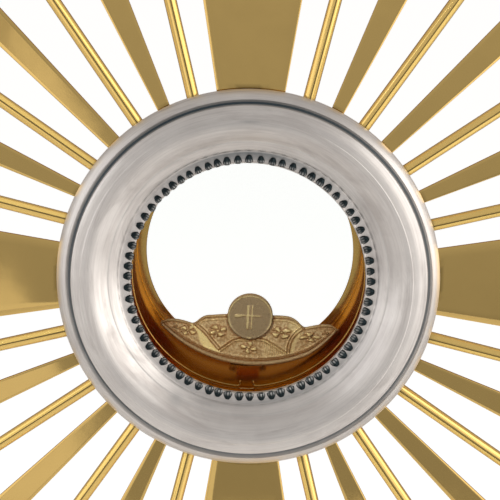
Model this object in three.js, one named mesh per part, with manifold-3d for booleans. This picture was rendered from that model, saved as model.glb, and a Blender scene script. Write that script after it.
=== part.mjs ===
// A sunburst monstrance: a satin silver moulding with a beaded edge frames a round glazed case, thirty-two
// gilt rays stand on a ring behind the moulding, and a crescent clip, the luna, holds the host in the case.
// The case has a hinged glass door at the back. A stem with a silver knop joins the case to a round foot.
//
// Units are millimetres, +Z is up and the front faces -Y. The origin is the centre of the foot's underside.
// The head is built in its own frame: its origin is on the case's axis, in the plane of the moulding's
// groove, with x to the right, y as the depth into the case and z up.
import * as THREE from 'three';
import { mergeVertices } from 'three/addons/utils/BufferGeometryUtils.js';
import Module from 'manifold-3d';

const wasm = await Module();
wasm.setup();

// ---------------------------------------------------------------- driving dimensions
const GAP = 0.3; // between pieces that touch
const HEAD_Z = 455; // height of the case's axis
const CASE_MIDDLE = 33; // depth of the stem's axis in the head
const AROUND = 48; // facets round the head's large rings
const STEM_AROUND = 32;
const FOOT_AROUND = 40;
const PIN_AROUND = 20; // facets round rods, pins and their bores

const RING = { rim: 73.5, groove: 68.8, opening: 45, back: 5.5, landBack: 7.2, ribIn: 56.6, ribOut: 58.6 };
const BEADS = { count: 72, radius: 46.9, radial: 1.6, waist: 0.45, front: 3.9, thickness: 1.4 };

const FLANGE = { outer: 70, front: 8.6, thickness: 1.6 }; // the ring that carries the rays
const CASE = { inner: 46.2, outer: 47.5, seat: 45.3, front: 7.5, seatBack: 12, back: 58.5, lip: 48.6 };
const GLASS = { thickness: 3, backThickness: 2 };
const WIRE = { radius: 0.45, ring: 45.4, gapAngle: 3.6, tip: 2.6 }; // the front glass's spring ring

const DOOR = { front: 58.8, back: 64.5, opening: 42.6, outer: 50.5, lip: 60.2, pocket: 45.4 };
const HINGE = { x: 55, y: 61.6, knuckle: 2.7, pin: 1.1, bore: 1.4, half: 5.7, end: 12 };
const BRACKET = { left: 45, right: 50.2, front: 44, back: 55.8 };
const KNOB = { base: 2.3, neck: 1.2, ball: 2.8, height: 7.2 };
const CLIP = {
  angle: 150, width: 6, foot: 47.9, reach: 50.9, thickness: 0.9, front: 44, bend: 53.2, over: 56.4, end: 62.5,
};

const RAY = { root: 72.2, inner: 60, thickness: 1.2, bevel: 0.25, rodWidth: 4.75, rodHeight: 2.4 };
const RAY_WIDTH_AT = 75.4; // the radius where a flat ray's width is stated
// One quarter of the sunburst: each ray's root angle and its own direction, in degrees from an arm of the
// cross, the radius of its outer end, and the width and taper of a flat one.
const QUARTER = [
  { name: 'ray_rod', root: 17.55, direction: 13.65, tip: 132 },
  { name: 'ray_flat', root: 26.75, direction: 24.65, tip: 138, width: 5.2, taper: 6 },
  { name: 'ray_rod', root: 35.85, direction: 34.6, tip: 132 },
];
const DIAGONAL = { name: 'ray_diagonal', root: 45, direction: 45, tip: 145, width: 6.1, taper: 4.25 };
const BROAD = { name: 'ray_broad', root: 0, direction: 0, tip: 152, width: 27, taper: 18.3 };

const LUNA = { z: -42.6, tilt: 2.2, front: 37.2, back: 39.6, edge: 48, tipX: 35, tipZ: 15.9 };
const LUNA_DISC = { z: 20.2, radius: 9.1, front: 36 };
const LUNA_LEAF = { front: 41.6, back: 42.6, edge: 46.3, lift: 0.7, tipX: 31.5, tipZ: 14.2, middle: 8.6 };
const LUNA_PIN = { y: 44.2, z: 2.2, radius: 0.6, bore: 0.9, knuckle: 1.35, half: 3.2, end: 5.5 };
const SHOE = {
  half: 5.5, web: 4, bottom: -1.95, flangeTop: -1.25, front: 50.5, back: 57,
  armLow: 0, armTop: 0.5, postThickness: 1.4, postTop: 1.6,
};
const RAIL = {
  half: 6.9, slot: 5.8, mouth: 4.3, floor: -2.25, lip: -0.95, top: -0.35, front: 50, back: 57.6, base: 1.2,
};

const SADDLE = { bottom: -68, wide: 15, narrow: 10, waist: 8.5, top: -44, boreTop: -54 };
const ROD = { radius: 3, bore: 3.6, thread: 3.3, bottom: 7, top: HEAD_Z - 56 };
const STEM = { top: HEAD_Z + SADDLE.bottom - GAP, knopTop: 262, knopBottom: 220, bottom: 70.3 };
const FOOT = { radius: 88, felt: 2.7, shell: 2, step: 14, stepInner: 74, top: 70 };
const BALLAST = { radius: 66, bottom: 8, top: 15, hub: 12, recess: 9, recessTop: 14 };
const NUT = { acrossFlats: 10, bottom: 8.6, top: 13.6 };

// ---------------------------------------------------------------- materials
function finish(color, roughness, metalness) {
  return () => new THREE.MeshStandardMaterial({ color, roughness, metalness });
}

const satinSilver = finish(0xd6cdc5, 0.38, 1);
const darkSilver = finish(0x30363a, 0.45, 1);
const brightGold = finish(0xd9a441, 0.12, 1);
const rayGold = finish(0xc9a253, 0.16, 1);
const lunaGold = finish(0xb08a4e, 0.35, 1);
const steel = finish(0xb8babd, 0.35, 1);
const iron = finish(0x4a4b4d, 0.7, 0.6);
const felt = finish(0x1f4a35, 0.95, 0);
const glass = () => new THREE.MeshStandardMaterial({
  color: 0xf4fbff, roughness: 0.02, metalness: 0, transparent: true, opacity: 0.15,
});

// ---------------------------------------------------------------- shape helpers
const rad = THREE.MathUtils.degToRad;

// A turned solid from [radius, height] points, about the Y axis. An outline that stays off the axis is
// closed on itself, and every outline runs so that its faces point out.
function turned(outline, around = AROUND) {
  const points = outline.map(([r, y]) => new THREE.Vector2(r, y));
  if (THREE.ShapeUtils.area(points) < 0) points.reverse();
  if (points[0].x > 0) points.push(points[0].clone());
  return new THREE.LatheGeometry(points, around);
}

const upright = (geometry) => geometry.rotateX(Math.PI / 2); // from the Y axis to the Z axis

function cylinder(radius, low, high, around) {
  return turned([[0, low], [radius, low], [radius, high], [0, high]], around);
}

function shapeOf(points) {
  return new THREE.Shape(points.map(([x, y]) => new THREE.Vector2(x, y)));
}

// A plate cut to an outline in the head's x-z plane, between two depths.
function plate(shape, front, back, curveSegments = 12) {
  const depth = back - front;
  const geometry = new THREE.ExtrudeGeometry(shape, { depth, bevelEnabled: false, curveSegments });
  return geometry.rotateX(Math.PI / 2).translate(0, back, 0);
}

// A block between two corners.
function block([x0, y0, z0], [x1, y1, z1]) {
  const geometry = new THREE.BoxGeometry(x1 - x0, y1 - y0, z1 - z0);
  return geometry.translate((x0 + x1) / 2, (y0 + y1) / 2, (z0 + z1) / 2);
}

function solid(geometry) {
  const bare = geometry.clone();
  bare.deleteAttribute('normal');
  bare.deleteAttribute('uv');
  const merged = mergeVertices(bare, 1e-4);
  const triVerts = new Uint32Array(merged.index.array);
  const vertProperties = merged.attributes.position.array;
  return new wasm.Manifold(new wasm.Mesh({ numProp: 3, vertProperties, triVerts }));
}

function geometryOf(body) {
  const { vertProperties, triVerts } = body.getMesh();
  const geometry = new THREE.BufferGeometry();
  geometry.setAttribute('position', new THREE.BufferAttribute(vertProperties, 3));
  geometry.setIndex(new THREE.BufferAttribute(triVerts, 1));
  return geometry;
}

// Joins the first list of geometries and cuts the second list away.
function carve(joined, cut = []) {
  const whole = joined.map(solid).reduce((sum, part) => sum.add(part));
  return geometryOf(cut.map(solid).reduce((rest, part) => rest.subtract(part), whole));
}

function add(parent, name, geometry, material) {
  const mesh = new THREE.Mesh(geometry, material());
  mesh.name = name;
  parent.add(mesh);
  return mesh;
}

// ---------------------------------------------------------------- moulding, beads and ray flange
// The face rolls over from the rim, past the groove, to a crest, and steps down to the beads' flat land.
function mouldingOutline() {
  const face = [
    [RING.rim, RING.back], [RING.rim, 4.4], [72.3, 2.5], [RING.groove + 0.9, 0.65], [RING.groove + 0.5, 1.9],
    [RING.groove - 0.5, 1.6], [RING.groove - 0.9, 0], [65.5, -0.85], [62.3, -1.2], [59, -0.5], [56.2, 1.25],
    [54.1, 3.7], [50.5, 4.75], [49.9, 5.6], [RING.opening, 5.7],
  ];
  const rib = FLANGE.front - GAP;
  const back = [
    [RING.opening, RING.landBack], [50.9, RING.landBack], [RING.ribIn, 3.6], [RING.ribIn, rib],
    [RING.ribOut, rib], [RING.ribOut, 1.6], [62.3, 0.5], [67, 1.6], [67.6, 3.3], [70.4, 3.6],
    [71.9, RING.back],
  ];
  return [...face, ...back];
}

// A flat ring whose two edges swell at every bead.
function beadRow() {
  const edge = (side) => {
    const points = [];
    for (let i = 0; i < BEADS.count * 2; i += 1) {
      const swell = i % 2 === 0 ? BEADS.waist : BEADS.radial;
      const angle = (i / BEADS.count) * Math.PI;
      const r = BEADS.radius + side * swell;
      points.push([r * Math.cos(angle), r * Math.sin(angle)]);
    }
    return points;
  };
  const shape = shapeOf(edge(1));
  shape.holes.push(shapeOf(edge(-1)));
  return plate(shape, BEADS.front, BEADS.front + BEADS.thickness);
}

function addMoulding(head) {
  add(head, 'silver_ring', turned(mouldingOutline()), satinSilver);
  add(head, 'bead_row', beadRow(), darkSilver);
  const bore = CASE.outer + GAP;
  const back = FLANGE.front + FLANGE.thickness;
  const outline = [[bore, FLANGE.front], [FLANGE.outer, FLANGE.front], [FLANGE.outer, back], [bore, back]];
  add(head, 'ray_flange', turned(outline), brightGold);
}

// ---------------------------------------------------------------- rays
// A flat ray points along +X from its inner end, with its flat back in the plane y = 0.
function flatRay({ width, taper }, start, end) {
  const slope = Math.tan(rad(taper / 2));
  const half = (r) => width / 2 + slope * (r - RAY_WIDTH_AT);
  const length = end - start;
  const shape = shapeOf([[0, -half(start)], [length, -half(end)], [length, half(end)], [0, half(start)]]);
  const geometry = new THREE.ExtrudeGeometry(shape, {
    depth: RAY.thickness - 2 * RAY.bevel,
    bevelThickness: RAY.bevel,
    bevelSize: RAY.bevel,
    bevelOffset: -RAY.bevel,
    bevelSegments: 1,
  });
  return geometry.translate(0, 0, RAY.bevel).rotateX(Math.PI / 2);
}

// A rod ray is half round, with its flat at the back.
function rodRay(length) {
  const half = RAY.rodWidth / 2;
  const shape = new THREE.Shape();
  shape.moveTo(half, 0);
  shape.absellipse(0, 0, half, RAY.rodHeight, 0, Math.PI, false, 0);
  shape.closePath();
  const settings = { depth: length, bevelEnabled: false, curveSegments: 10 };
  const geometry = new THREE.ExtrudeGeometry(shape, settings);
  return geometry.rotateY(Math.PI / 2).rotateX(Math.PI);
}

// Places one ray. Its root angle is where its centre line crosses the root circle.
function addRay(head, name, ray, rootAngle, direction) {
  const along = new THREE.Vector2(Math.cos(direction), Math.sin(direction));
  const root = new THREE.Vector2(Math.cos(rootAngle), Math.sin(rootAngle)).multiplyScalar(RAY.root);
  const dot = root.dot(along);
  const reach = (radius) => -dot + Math.sqrt(dot ** 2 - root.lengthSq() + radius ** 2);
  const inward = reach(RAY.inner);
  const outward = reach(ray.tip);
  const isFlat = ray.width !== undefined;
  const geometry = isFlat ? flatRay(ray, RAY.root + inward, RAY.root + outward) : rodRay(outward - inward);
  const mesh = add(head, name, geometry, rayGold);
  const start = root.clone().addScaledVector(along, inward);
  mesh.position.set(start.x, FLANGE.front - GAP, start.y);
  mesh.rotation.y = -direction;
}

function addRays(head) {
  const arms = 4;
  const counts = {};
  const place = (ray, rootAngle, direction) => {
    counts[ray.name] = (counts[ray.name] ?? 0) + 1;
    const name = `${ray.name}_${String(counts[ray.name]).padStart(2, '0')}`;
    addRay(head, name, ray, rad(rootAngle), rad(direction));
  };
  for (let arm = 0; arm < arms; arm += 1) {
    const base = (arm * 360) / arms;
    place(BROAD, base, base);
    for (const ray of QUARTER) place(ray, base + ray.root, base + ray.direction);
    place(DIAGONAL, base + DIAGONAL.root, base + DIAGONAL.direction);
    for (const ray of [...QUARTER].reverse()) place(ray, base + 90 - ray.root, base + 90 - ray.direction);
  }
}

// ---------------------------------------------------------------- case, glasses and spring ring
function discOutline(radius, front, thickness) {
  const chamfer = 0.3;
  return [
    [0, front], [radius - chamfer, front], [radius, front + chamfer], [radius, front + thickness - chamfer],
    [radius - chamfer, front + thickness], [0, front + thickness],
  ];
}

// The spring ring is a round wire, open at the bottom, with both tips bent towards the axis.
function springRing(depth) {
  const at = (angle, r) => new THREE.Vector3(r * Math.cos(angle), depth, r * Math.sin(angle));
  const first = rad(-90 + WIRE.gapAngle);
  const last = rad(270 - WIRE.gapAngle);
  const bends = 48;
  const points = [at(first, WIRE.ring - WIRE.tip), at(first, WIRE.ring - WIRE.tip / 2)];
  for (let i = 0; i <= bends; i += 1) points.push(at(first + ((last - first) * i) / bends, WIRE.ring));
  points.push(at(last, WIRE.ring - WIRE.tip / 2), at(last, WIRE.ring - WIRE.tip));
  const wire = new THREE.CatmullRomCurve3(points, false, 'centripetal');
  const section = new THREE.Shape().absarc(0, 0, WIRE.radius, 0, 2 * Math.PI);
  const sweep = { steps: 64, extrudePath: wire, curveSegments: 3, bevelEnabled: false };
  return new THREE.ExtrudeGeometry(section, sweep);
}

function addCase(head) {
  const wall = [
    [CASE.seat, CASE.front], [CASE.outer, CASE.front], [CASE.outer, CASE.back - 2.5],
    [CASE.lip, CASE.back - 1.9], [CASE.lip, CASE.back], [CASE.inner, CASE.back],
    [CASE.inner, CASE.seatBack], [CASE.seat, CASE.seatBack],
  ];
  add(head, 'case_drum', turned(wall), brightGold);
  const glassFront = CASE.seatBack + GAP;
  add(head, 'front_glass', turned(discOutline(CASE.inner - GAP, glassFront, GLASS.thickness)), glass);
  add(head, 'glass_spring_ring', springRing(glassFront + GLASS.thickness + GAP + WIRE.radius), brightGold);
}

// ---------------------------------------------------------------- rear door
function hingeCylinder(radius, low, high) {
  return upright(cylinder(radius, -high, -low, PIN_AROUND)).translate(HINGE.x, HINGE.y, 0);
}

function addDoor(head) {
  const bezel = turned([
    [DOOR.opening, DOOR.front], [DOOR.outer - 0.5, DOOR.front], [DOOR.outer, DOOR.front + 0.5],
    [DOOR.outer, DOOR.back - 0.9], [DOOR.outer - 0.9, DOOR.back], [DOOR.pocket, DOOR.back],
    [DOOR.pocket, DOOR.lip], [DOOR.opening, DOOR.lip],
  ]);
  const lug = block(
    [DOOR.outer - 0.7, HINGE.y - HINGE.bore, -HINGE.half],
    [HINGE.x, HINGE.y + HINGE.bore, HINGE.half],
  );
  const knuckle = hingeCylinder(HINGE.knuckle, -HINGE.half, HINGE.half);
  const bore = hingeCylinder(HINGE.bore, -HINGE.end, HINGE.end);
  add(head, 'door_bezel', carve([bezel, lug, knuckle], [bore]), brightGold);

  const glassRadius = DOOR.pocket - GAP;
  const glassFront = DOOR.lip + GAP;
  add(head, 'door_glass', turned(discOutline(glassRadius, glassFront, GLASS.backThickness)), glass);
  const ringFront = glassFront + GLASS.backThickness + GAP;
  const ringBack = ringFront + 1.1;
  const ringBore = DOOR.opening + 0.6;
  const ring = [
    [ringBore, ringFront], [glassRadius, ringFront], [glassRadius, ringBack], [ringBore, ringBack],
  ];
  add(head, 'door_glass_ring', turned(ring), brightGold);

  const { base, neck, ball, height } = KNOB;
  const knob = [
    [0, 0], [base, 0], [base, height * 0.1], [neck, height * 0.22], [neck, height * 0.45],
    [ball * 0.85, height * 0.6], [ball, height * 0.78], [ball * 0.8, height * 0.94], [0, height],
  ];
  const mesh = add(head, 'door_knob', turned(knob, STEM_AROUND), brightGold);
  mesh.position.set(-(DOOR.pocket + DOOR.outer) / 2, DOOR.back + GAP, 0);
}

// The bracket's plate hugs the case, and two arms reach back to its knuckles.
function addHinge(head) {
  const base = block([BRACKET.left, BRACKET.front, -HINGE.end], [BRACKET.right, BRACKET.back, HINGE.end]);
  const armLeft = BRACKET.right - 0.8;
  const armShape = shapeOf([
    [armLeft, BRACKET.front + 2], [armLeft + 3.1, BRACKET.front + 2], [HINGE.x + 1.6, HINGE.y - 2],
    [HINGE.x - 2.4, HINGE.y - 0.8], [armLeft, BRACKET.back - 0.2],
  ]);
  const armDepth = HINGE.end - HINGE.half - GAP;
  const joined = [base];
  for (const low of [HINGE.half + GAP, -HINGE.end]) {
    const arm = new THREE.ExtrudeGeometry(armShape, { depth: armDepth, bevelEnabled: false });
    joined.push(arm.translate(0, 0, low));
    joined.push(hingeCylinder(HINGE.knuckle, low, low + armDepth));
  }
  const caseBody = cylinder(CASE.outer + GAP, 0, DOOR.back, AROUND);
  const bore = hingeCylinder(HINGE.bore, -HINGE.end - 1, HINGE.end + 1);
  add(head, 'hinge_bracket', carve(joined, [caseBody, bore]), brightGold);
  add(head, 'hinge_pin', hingeCylinder(HINGE.pin, -HINGE.end - 1.5, HINGE.end + 1.5), brightGold);
}

// A leaf spring on the case's side whose end rests over the closed door's rim.
function addClip(head) {
  const { foot, reach, thickness, front, bend, over, end } = CLIP;
  const shape = shapeOf([
    [foot, front], [foot + thickness, front], [foot + thickness, bend], [reach + thickness, over],
    [reach + thickness, end], [reach, end], [reach, over + thickness / 2], [foot, bend + thickness / 2],
  ]);
  const geometry = new THREE.ExtrudeGeometry(shape, { depth: CLIP.width, bevelEnabled: false });
  const mesh = add(head, 'door_clip', geometry.translate(0, 0, -CLIP.width / 2), brightGold);
  mesh.rotation.y = -rad(CLIP.angle);
}

// ---------------------------------------------------------------- luna
// The front plate's outline: a crescent edge below, and the rounded tops of overlapping wafers above.
function lunaOutline() {
  const { edge, tipX, tipZ } = LUNA;
  const sweep = Math.asin(tipX / edge);
  const shoulder = { x: 21.3, z: 16.3 };
  const hump = { x: 12.7, z: 20.4 };
  const discMeet = Math.sqrt(LUNA_DISC.radius ** 2 - (hump.z - LUNA_DISC.z) ** 2);
  const shape = new THREE.Shape();
  shape.moveTo(-tipX, edge - Math.cos(sweep) * edge);
  shape.absarc(0, edge, edge, -Math.PI / 2 - sweep, -Math.PI / 2 + sweep, false);
  shape.lineTo(tipX - 0.4, tipZ + 0.8);
  shape.quadraticCurveTo(29.5, 18.9, shoulder.x, shoulder.z);
  shape.quadraticCurveTo(17.5, hump.z, hump.x, hump.z);
  shape.lineTo(discMeet, hump.z);
  shape.absarc(0, LUNA_DISC.z, LUNA_DISC.radius, 0, Math.PI, false);
  shape.lineTo(-hump.x, hump.z);
  shape.quadraticCurveTo(-17.5, hump.z, -shoulder.x, shoulder.z);
  shape.quadraticCurveTo(-29.5, 18.9, -tipX + 0.4, tipZ + 0.8);
  return shape;
}

function leafOutline() {
  const { edge, lift, tipX, tipZ, middle } = LUNA_LEAF;
  const sweep = Math.asin(tipX / edge);
  const shape = new THREE.Shape();
  shape.absarc(0, edge + lift, edge, -Math.PI / 2 - sweep, -Math.PI / 2 + sweep, false);
  shape.lineTo(tipX - 1, tipZ + 1.4);
  shape.quadraticCurveTo(tipX / 2, middle - 1, 3, middle);
  shape.lineTo(3, middle + 3);
  shape.lineTo(-3, middle + 3);
  shape.lineTo(-3, middle);
  shape.quadraticCurveTo(-tipX / 2, middle - 1, -tipX + 1, tipZ + 1.4);
  return shape;
}

const lunaCylinder = (radius, from, to) => cylinder(radius, -to, -from, PIN_AROUND - 4)
  .rotateZ(Math.PI / 2).translate(0, LUNA_PIN.y, LUNA_PIN.z);

function addLuna(head) {
  const luna = new THREE.Group();
  luna.position.z = LUNA.z;
  luna.rotation.y = rad(LUNA.tilt);
  head.add(luna);

  const disc = cylinder(LUNA_DISC.radius - 0.05, LUNA_DISC.front, LUNA.back - 0.5, STEM_AROUND);
  disc.translate(0, 0, LUNA_DISC.z);
  add(luna, 'luna_front', carve([plate(lunaOutline(), LUNA.front, LUNA.back, 16), disc]), lunaGold);

  const { y: pinY, z: pinZ, knuckle, bore, half, end } = LUNA_PIN;
  const boreSolid = lunaCylinder(bore, -SHOE.half - 1, SHOE.half + 1);
  const tab = block([-half, LUNA_LEAF.back - 0.3, pinZ - 0.9], [half, pinY, pinZ + 0.9]);
  const blade = plate(leafOutline(), LUNA_LEAF.front, LUNA_LEAF.back, 16);
  const leaf = [blade, lunaCylinder(knuckle, -half, half), tab];
  add(luna, 'luna_leaf', carve(leaf, [boreSolid]), lunaGold);
  add(luna, 'luna_pin', lunaCylinder(LUNA_PIN.radius, -end - 0.4, end + 0.4), brightGold);

  const shoeFront = LUNA.back + GAP;
  const arm = block([-SHOE.web, shoeFront, SHOE.armLow], [SHOE.web, SHOE.back, SHOE.armTop]);
  const postBack = shoeFront + SHOE.postThickness;
  const post = block([-SHOE.web, shoeFront, SHOE.armLow], [SHOE.web, postBack, SHOE.postTop]);
  const section = [
    [-SHOE.half, SHOE.bottom], [SHOE.half, SHOE.bottom], [SHOE.half, SHOE.flangeTop],
    [SHOE.web, SHOE.flangeTop], [SHOE.web, SHOE.armTop], [-SHOE.web, SHOE.armTop],
    [-SHOE.web, SHOE.flangeTop], [-SHOE.half, SHOE.flangeTop],
  ];
  const shoe = [plate(shapeOf(section), SHOE.front, SHOE.back), arm, post];
  const earInner = half + GAP;
  for (const side of [-1, 1]) {
    const [low, high] = [side * earInner, side * end].sort((a, b) => a - b);
    const [inner, outer] = [side * earInner, side * SHOE.web].sort((a, b) => a - b);
    shoe.push(lunaCylinder(knuckle, low, high));
    shoe.push(block([inner, pinY - knuckle, SHOE.armLow], [outer, pinY + knuckle, pinZ]));
  }
  add(luna, 'luna_shoe', carve(shoe, [boreSolid]), brightGold);
}

// The rail is soldered to the case's floor behind the luna, and its lips hold the shoe down.
function addRail(head) {
  const holder = new THREE.Group();
  holder.position.z = LUNA.z;
  holder.rotation.y = rad(LUNA.tilt);
  head.add(holder);
  const floor = RAIL.floor - RAIL.base;
  const section = [
    [-RAIL.half, floor], [RAIL.half, floor], [RAIL.half, RAIL.top], [RAIL.mouth, RAIL.top],
    [RAIL.mouth, RAIL.lip], [RAIL.slot, RAIL.lip], [RAIL.slot, RAIL.floor], [-RAIL.slot, RAIL.floor],
    [-RAIL.slot, RAIL.lip], [-RAIL.mouth, RAIL.lip], [-RAIL.mouth, RAIL.top], [-RAIL.half, RAIL.top],
  ];
  const tilt = rad(LUNA.tilt);
  const bore = cylinder(CASE.inner - GAP, RAIL.front - 1, RAIL.back + 1, AROUND * 2);
  bore.translate(LUNA.z * Math.sin(tilt), 0, -LUNA.z * Math.cos(tilt));
  const rail = solid(plate(shapeOf(section), RAIL.front, RAIL.back)).intersect(solid(bore));
  add(holder, 'luna_rail', geometryOf(rail), brightGold);
}

// ---------------------------------------------------------------- stem and foot
function addSaddle(head) {
  const { bottom, wide, narrow, waist, top, boreTop } = SADDLE;
  const flare = turned([
    [0, bottom], [narrow, bottom], [narrow, bottom + 2], [waist, bottom + 4], [waist + 1, bottom + 8],
    [wide - 2.5, bottom + 12], [wide, bottom + 15], [wide, top], [0, top],
  ], STEM_AROUND);
  const caseBody = cylinder(CASE.outer + GAP, -CASE.back, CASE.back, AROUND);
  const bore = upright(cylinder(ROD.thread, bottom - 1, boreTop, PIN_AROUND));
  add(head, 'case_saddle', carve([upright(flare)], [caseBody, bore]), brightGold).position.y = CASE_MIDDLE;
}

function addStem(group) {
  const { top, knopTop, knopBottom, bottom } = STEM;
  const tube = (outline) => {
    const ends = [outline[outline.length - 1][1], outline[0][1]];
    return upright(turned([...outline, [ROD.bore, ends[0]], [ROD.bore, ends[1]]], STEM_AROUND));
  };
  add(group, 'stem_upper', tube([
    [12.5, knopTop + GAP], [12.5, knopTop + 3], [9, knopTop + 6], [8, knopTop + 12], [6.8, top - 16],
    [7.2, top - 8], [10, top - 4], [10, top],
  ]), brightGold);

  const knopRadius = 23;
  const middle = (knopTop + knopBottom) / 2;
  const half = (knopTop - knopBottom) / 2;
  const knop = [];
  const slices = 8;
  for (let i = 0; i <= slices; i += 1) {
    const angle = -Math.PI / 2 + (Math.PI * i) / slices;
    knop.push([10 + (knopRadius - 10) * Math.cos(angle), middle + half * Math.sin(angle)]);
  }
  add(group, 'knop', tube(knop), satinSilver);

  const span = knopBottom - GAP - bottom;
  const baluster = [];
  const steps = 6;
  for (let i = 0; i <= steps; i += 1) {
    const t = i / steps;
    baluster.push([7 + 11 * (1 - t) ** 2.2 + 2.4 * Math.sin(Math.PI * t) ** 2, bottom + 6 + (span - 16) * t]);
  }
  add(group, 'stem_lower', tube([
    [21, bottom], [21, bottom + 3], ...baluster, [12.5, knopBottom - 4], [12.5, knopBottom - GAP],
  ]), brightGold);
}

function addFoot(group) {
  const low = FOOT.felt + GAP;
  const { radius, step, stepInner, top, shell } = FOOT;
  const bell = [];
  const inside = [];
  const slices = 5;
  const sweep = 52;
  const rise = top - step - 6;
  for (let i = 0; i <= slices; i += 1) {
    const angle = (Math.PI / 2) * (i / slices);
    bell.push([stepInner - sweep * Math.sin(angle), step + 4 + rise * (1 - Math.cos(angle))]);
    inside.push([stepInner - shell - (sweep - 1) * Math.sin(angle), step + 1 + rise * (1 - Math.cos(angle))]);
  }
  const outline = [
    [radius, low], [radius, 10], [radius - 0.8, 12.6], [radius - 2.4, step], [stepInner, step], ...bell,
    [22, top], [ROD.bore, top], [ROD.bore, top - 5], ...inside.reverse(),
    [stepInner - shell, step - shell], [radius - 4, step - shell], [radius - shell, 9], [radius - shell, low],
  ];
  add(group, 'foot_shell', upright(turned(outline, FOOT_AROUND)), brightGold);

  const ringLow = step + GAP;
  const ring = [
    [stepInner + 1, ringLow], [radius - 3.4, ringLow], [radius - 3.4, ringLow + 1], [radius - 5, ringLow + 3],
    [radius - 8, ringLow + 4.2], [stepInner + 3, ringLow + 3.6], [stepInner + 1, ringLow + 1.6],
  ];
  add(group, 'foot_ring', upright(turned(ring, FOOT_AROUND)), satinSilver);

  const hubTop = top - 5 - GAP;
  add(group, 'foot_ballast', upright(turned([
    [BALLAST.recess, BALLAST.bottom], [BALLAST.radius, BALLAST.bottom], [BALLAST.radius, BALLAST.top],
    [BALLAST.hub + 6, BALLAST.top + 2], [BALLAST.hub, BALLAST.top + 10], [BALLAST.hub, hubTop],
    [ROD.bore, hubTop], [ROD.bore, BALLAST.recessTop], [BALLAST.recess, BALLAST.recessTop],
  ], STEM_AROUND)), iron);

  add(group, 'felt_pad', upright(cylinder(radius - 1, 0, FOOT.felt, FOOT_AROUND)), felt);
  add(group, 'tie_rod', upright(cylinder(ROD.radius, ROD.bottom, ROD.top, PIN_AROUND)), steel);
  const hexagon = upright(cylinder(NUT.acrossFlats / 2 / Math.cos(Math.PI / 6), NUT.bottom, NUT.top, 6));
  const thread = upright(cylinder(ROD.thread, NUT.bottom - 1, NUT.top + 1, PIN_AROUND));
  add(group, 'tie_nut', carve([hexagon], [thread]), steel);
}

// ---------------------------------------------------------------- the whole object
const group = new THREE.Group();
const head = new THREE.Group();
head.position.set(0, -CASE_MIDDLE, HEAD_Z);
group.add(head);

addMoulding(head);
addRays(head);
addCase(head);
addDoor(head);
addHinge(head);
addClip(head);
addLuna(head);
addRail(head);
addSaddle(head);
addStem(group);
addFoot(group);

export default group;
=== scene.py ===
"""The looks of a sunburst monstrance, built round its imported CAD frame.

Shapes are worked out in millimetres. A head piece is made in the head's own frame: its origin is on the case's
axis in the plane of the moulding's groove, with x to the right, y as the depth into the case and z up. A stem or
foot piece is made in the object's frame. Each piece's object sits at its frame's origin, so its materials can use
object coordinates, and its mesh is in metres.
"""

import math
import random

import bmesh
import bpy
import numpy as np
from mathutils import Matrix, Vector


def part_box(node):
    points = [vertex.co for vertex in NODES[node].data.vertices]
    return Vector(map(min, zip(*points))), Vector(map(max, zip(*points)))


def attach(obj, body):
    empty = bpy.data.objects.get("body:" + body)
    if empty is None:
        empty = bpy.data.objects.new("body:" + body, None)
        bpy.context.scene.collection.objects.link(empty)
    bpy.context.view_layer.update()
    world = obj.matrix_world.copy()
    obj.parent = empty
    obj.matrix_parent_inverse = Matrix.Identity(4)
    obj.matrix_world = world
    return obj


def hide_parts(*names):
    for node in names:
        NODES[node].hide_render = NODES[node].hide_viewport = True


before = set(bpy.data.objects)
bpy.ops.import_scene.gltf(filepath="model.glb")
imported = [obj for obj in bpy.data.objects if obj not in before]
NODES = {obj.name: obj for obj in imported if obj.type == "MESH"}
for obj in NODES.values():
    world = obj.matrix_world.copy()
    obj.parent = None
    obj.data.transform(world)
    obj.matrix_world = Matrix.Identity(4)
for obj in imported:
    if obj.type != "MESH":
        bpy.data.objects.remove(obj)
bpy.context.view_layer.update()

MM = 0.001
TAU = 2 * math.pi


# ------------------------------------------------------------------ places taken from the frame
def middle(name):
    low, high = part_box(name)
    return (low + high) / 2


CREST_HEIGHT = 1.2  # the moulding's crest stands this far in front of its groove's plane
HEAD = Vector((0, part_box("silver_ring")[0].y + CREST_HEIGHT * MM, middle("silver_ring").z))
FLOOR_ORIGIN = Vector((0, 0, 0))


def head_box(name):
    """A node's lowest and highest corners in the head's frame, in millimetres."""
    return [(corner - HEAD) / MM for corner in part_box(name)]


def heights(name):
    """A node's lowest and highest z above the floor, in millimetres."""
    return [corner.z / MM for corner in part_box(name)]


RAY_BACK = head_box("ray_rod_01")[1].y
OPENING = 45.15  # the radius inside the moulding
BEAD_RADIUS = 46.9
BEAD_COUNT = 72
BEAD_SHIFT = 0.45  # the row sits a little off the axis
LAND = 5.7  # depth of the flat land that carries the beads
CASE_INNER, CASE_OUTER = 46.2, 47.5
CASE_BACK = head_box("case_drum")[1].y


# ------------------------------------------------------------------ node helpers
def empty_tree(owner, output="ShaderNodeOutputMaterial"):
    """Clears the nodes of a material or world. Returns its tree and the surface input of its new output."""
    owner.use_nodes = True
    tree = owner.node_tree
    tree.nodes.clear()
    return tree, tree.nodes.new(output).inputs["Surface"]


def new_material(name):
    """A material, its tree and its Principled shader."""
    material = bpy.data.materials.new(name)
    tree, surface = empty_tree(material)
    shader = tree.nodes.new("ShaderNodeBsdfPrincipled")
    tree.links.new(shader.outputs[0], surface)
    return material, tree, shader


def put(tree, value, socket):
    """Sets a socket to a number or colour, or links another socket to it."""
    if isinstance(value, bpy.types.NodeSocket):
        tree.links.new(value, socket)
    else:
        socket.default_value = value


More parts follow.
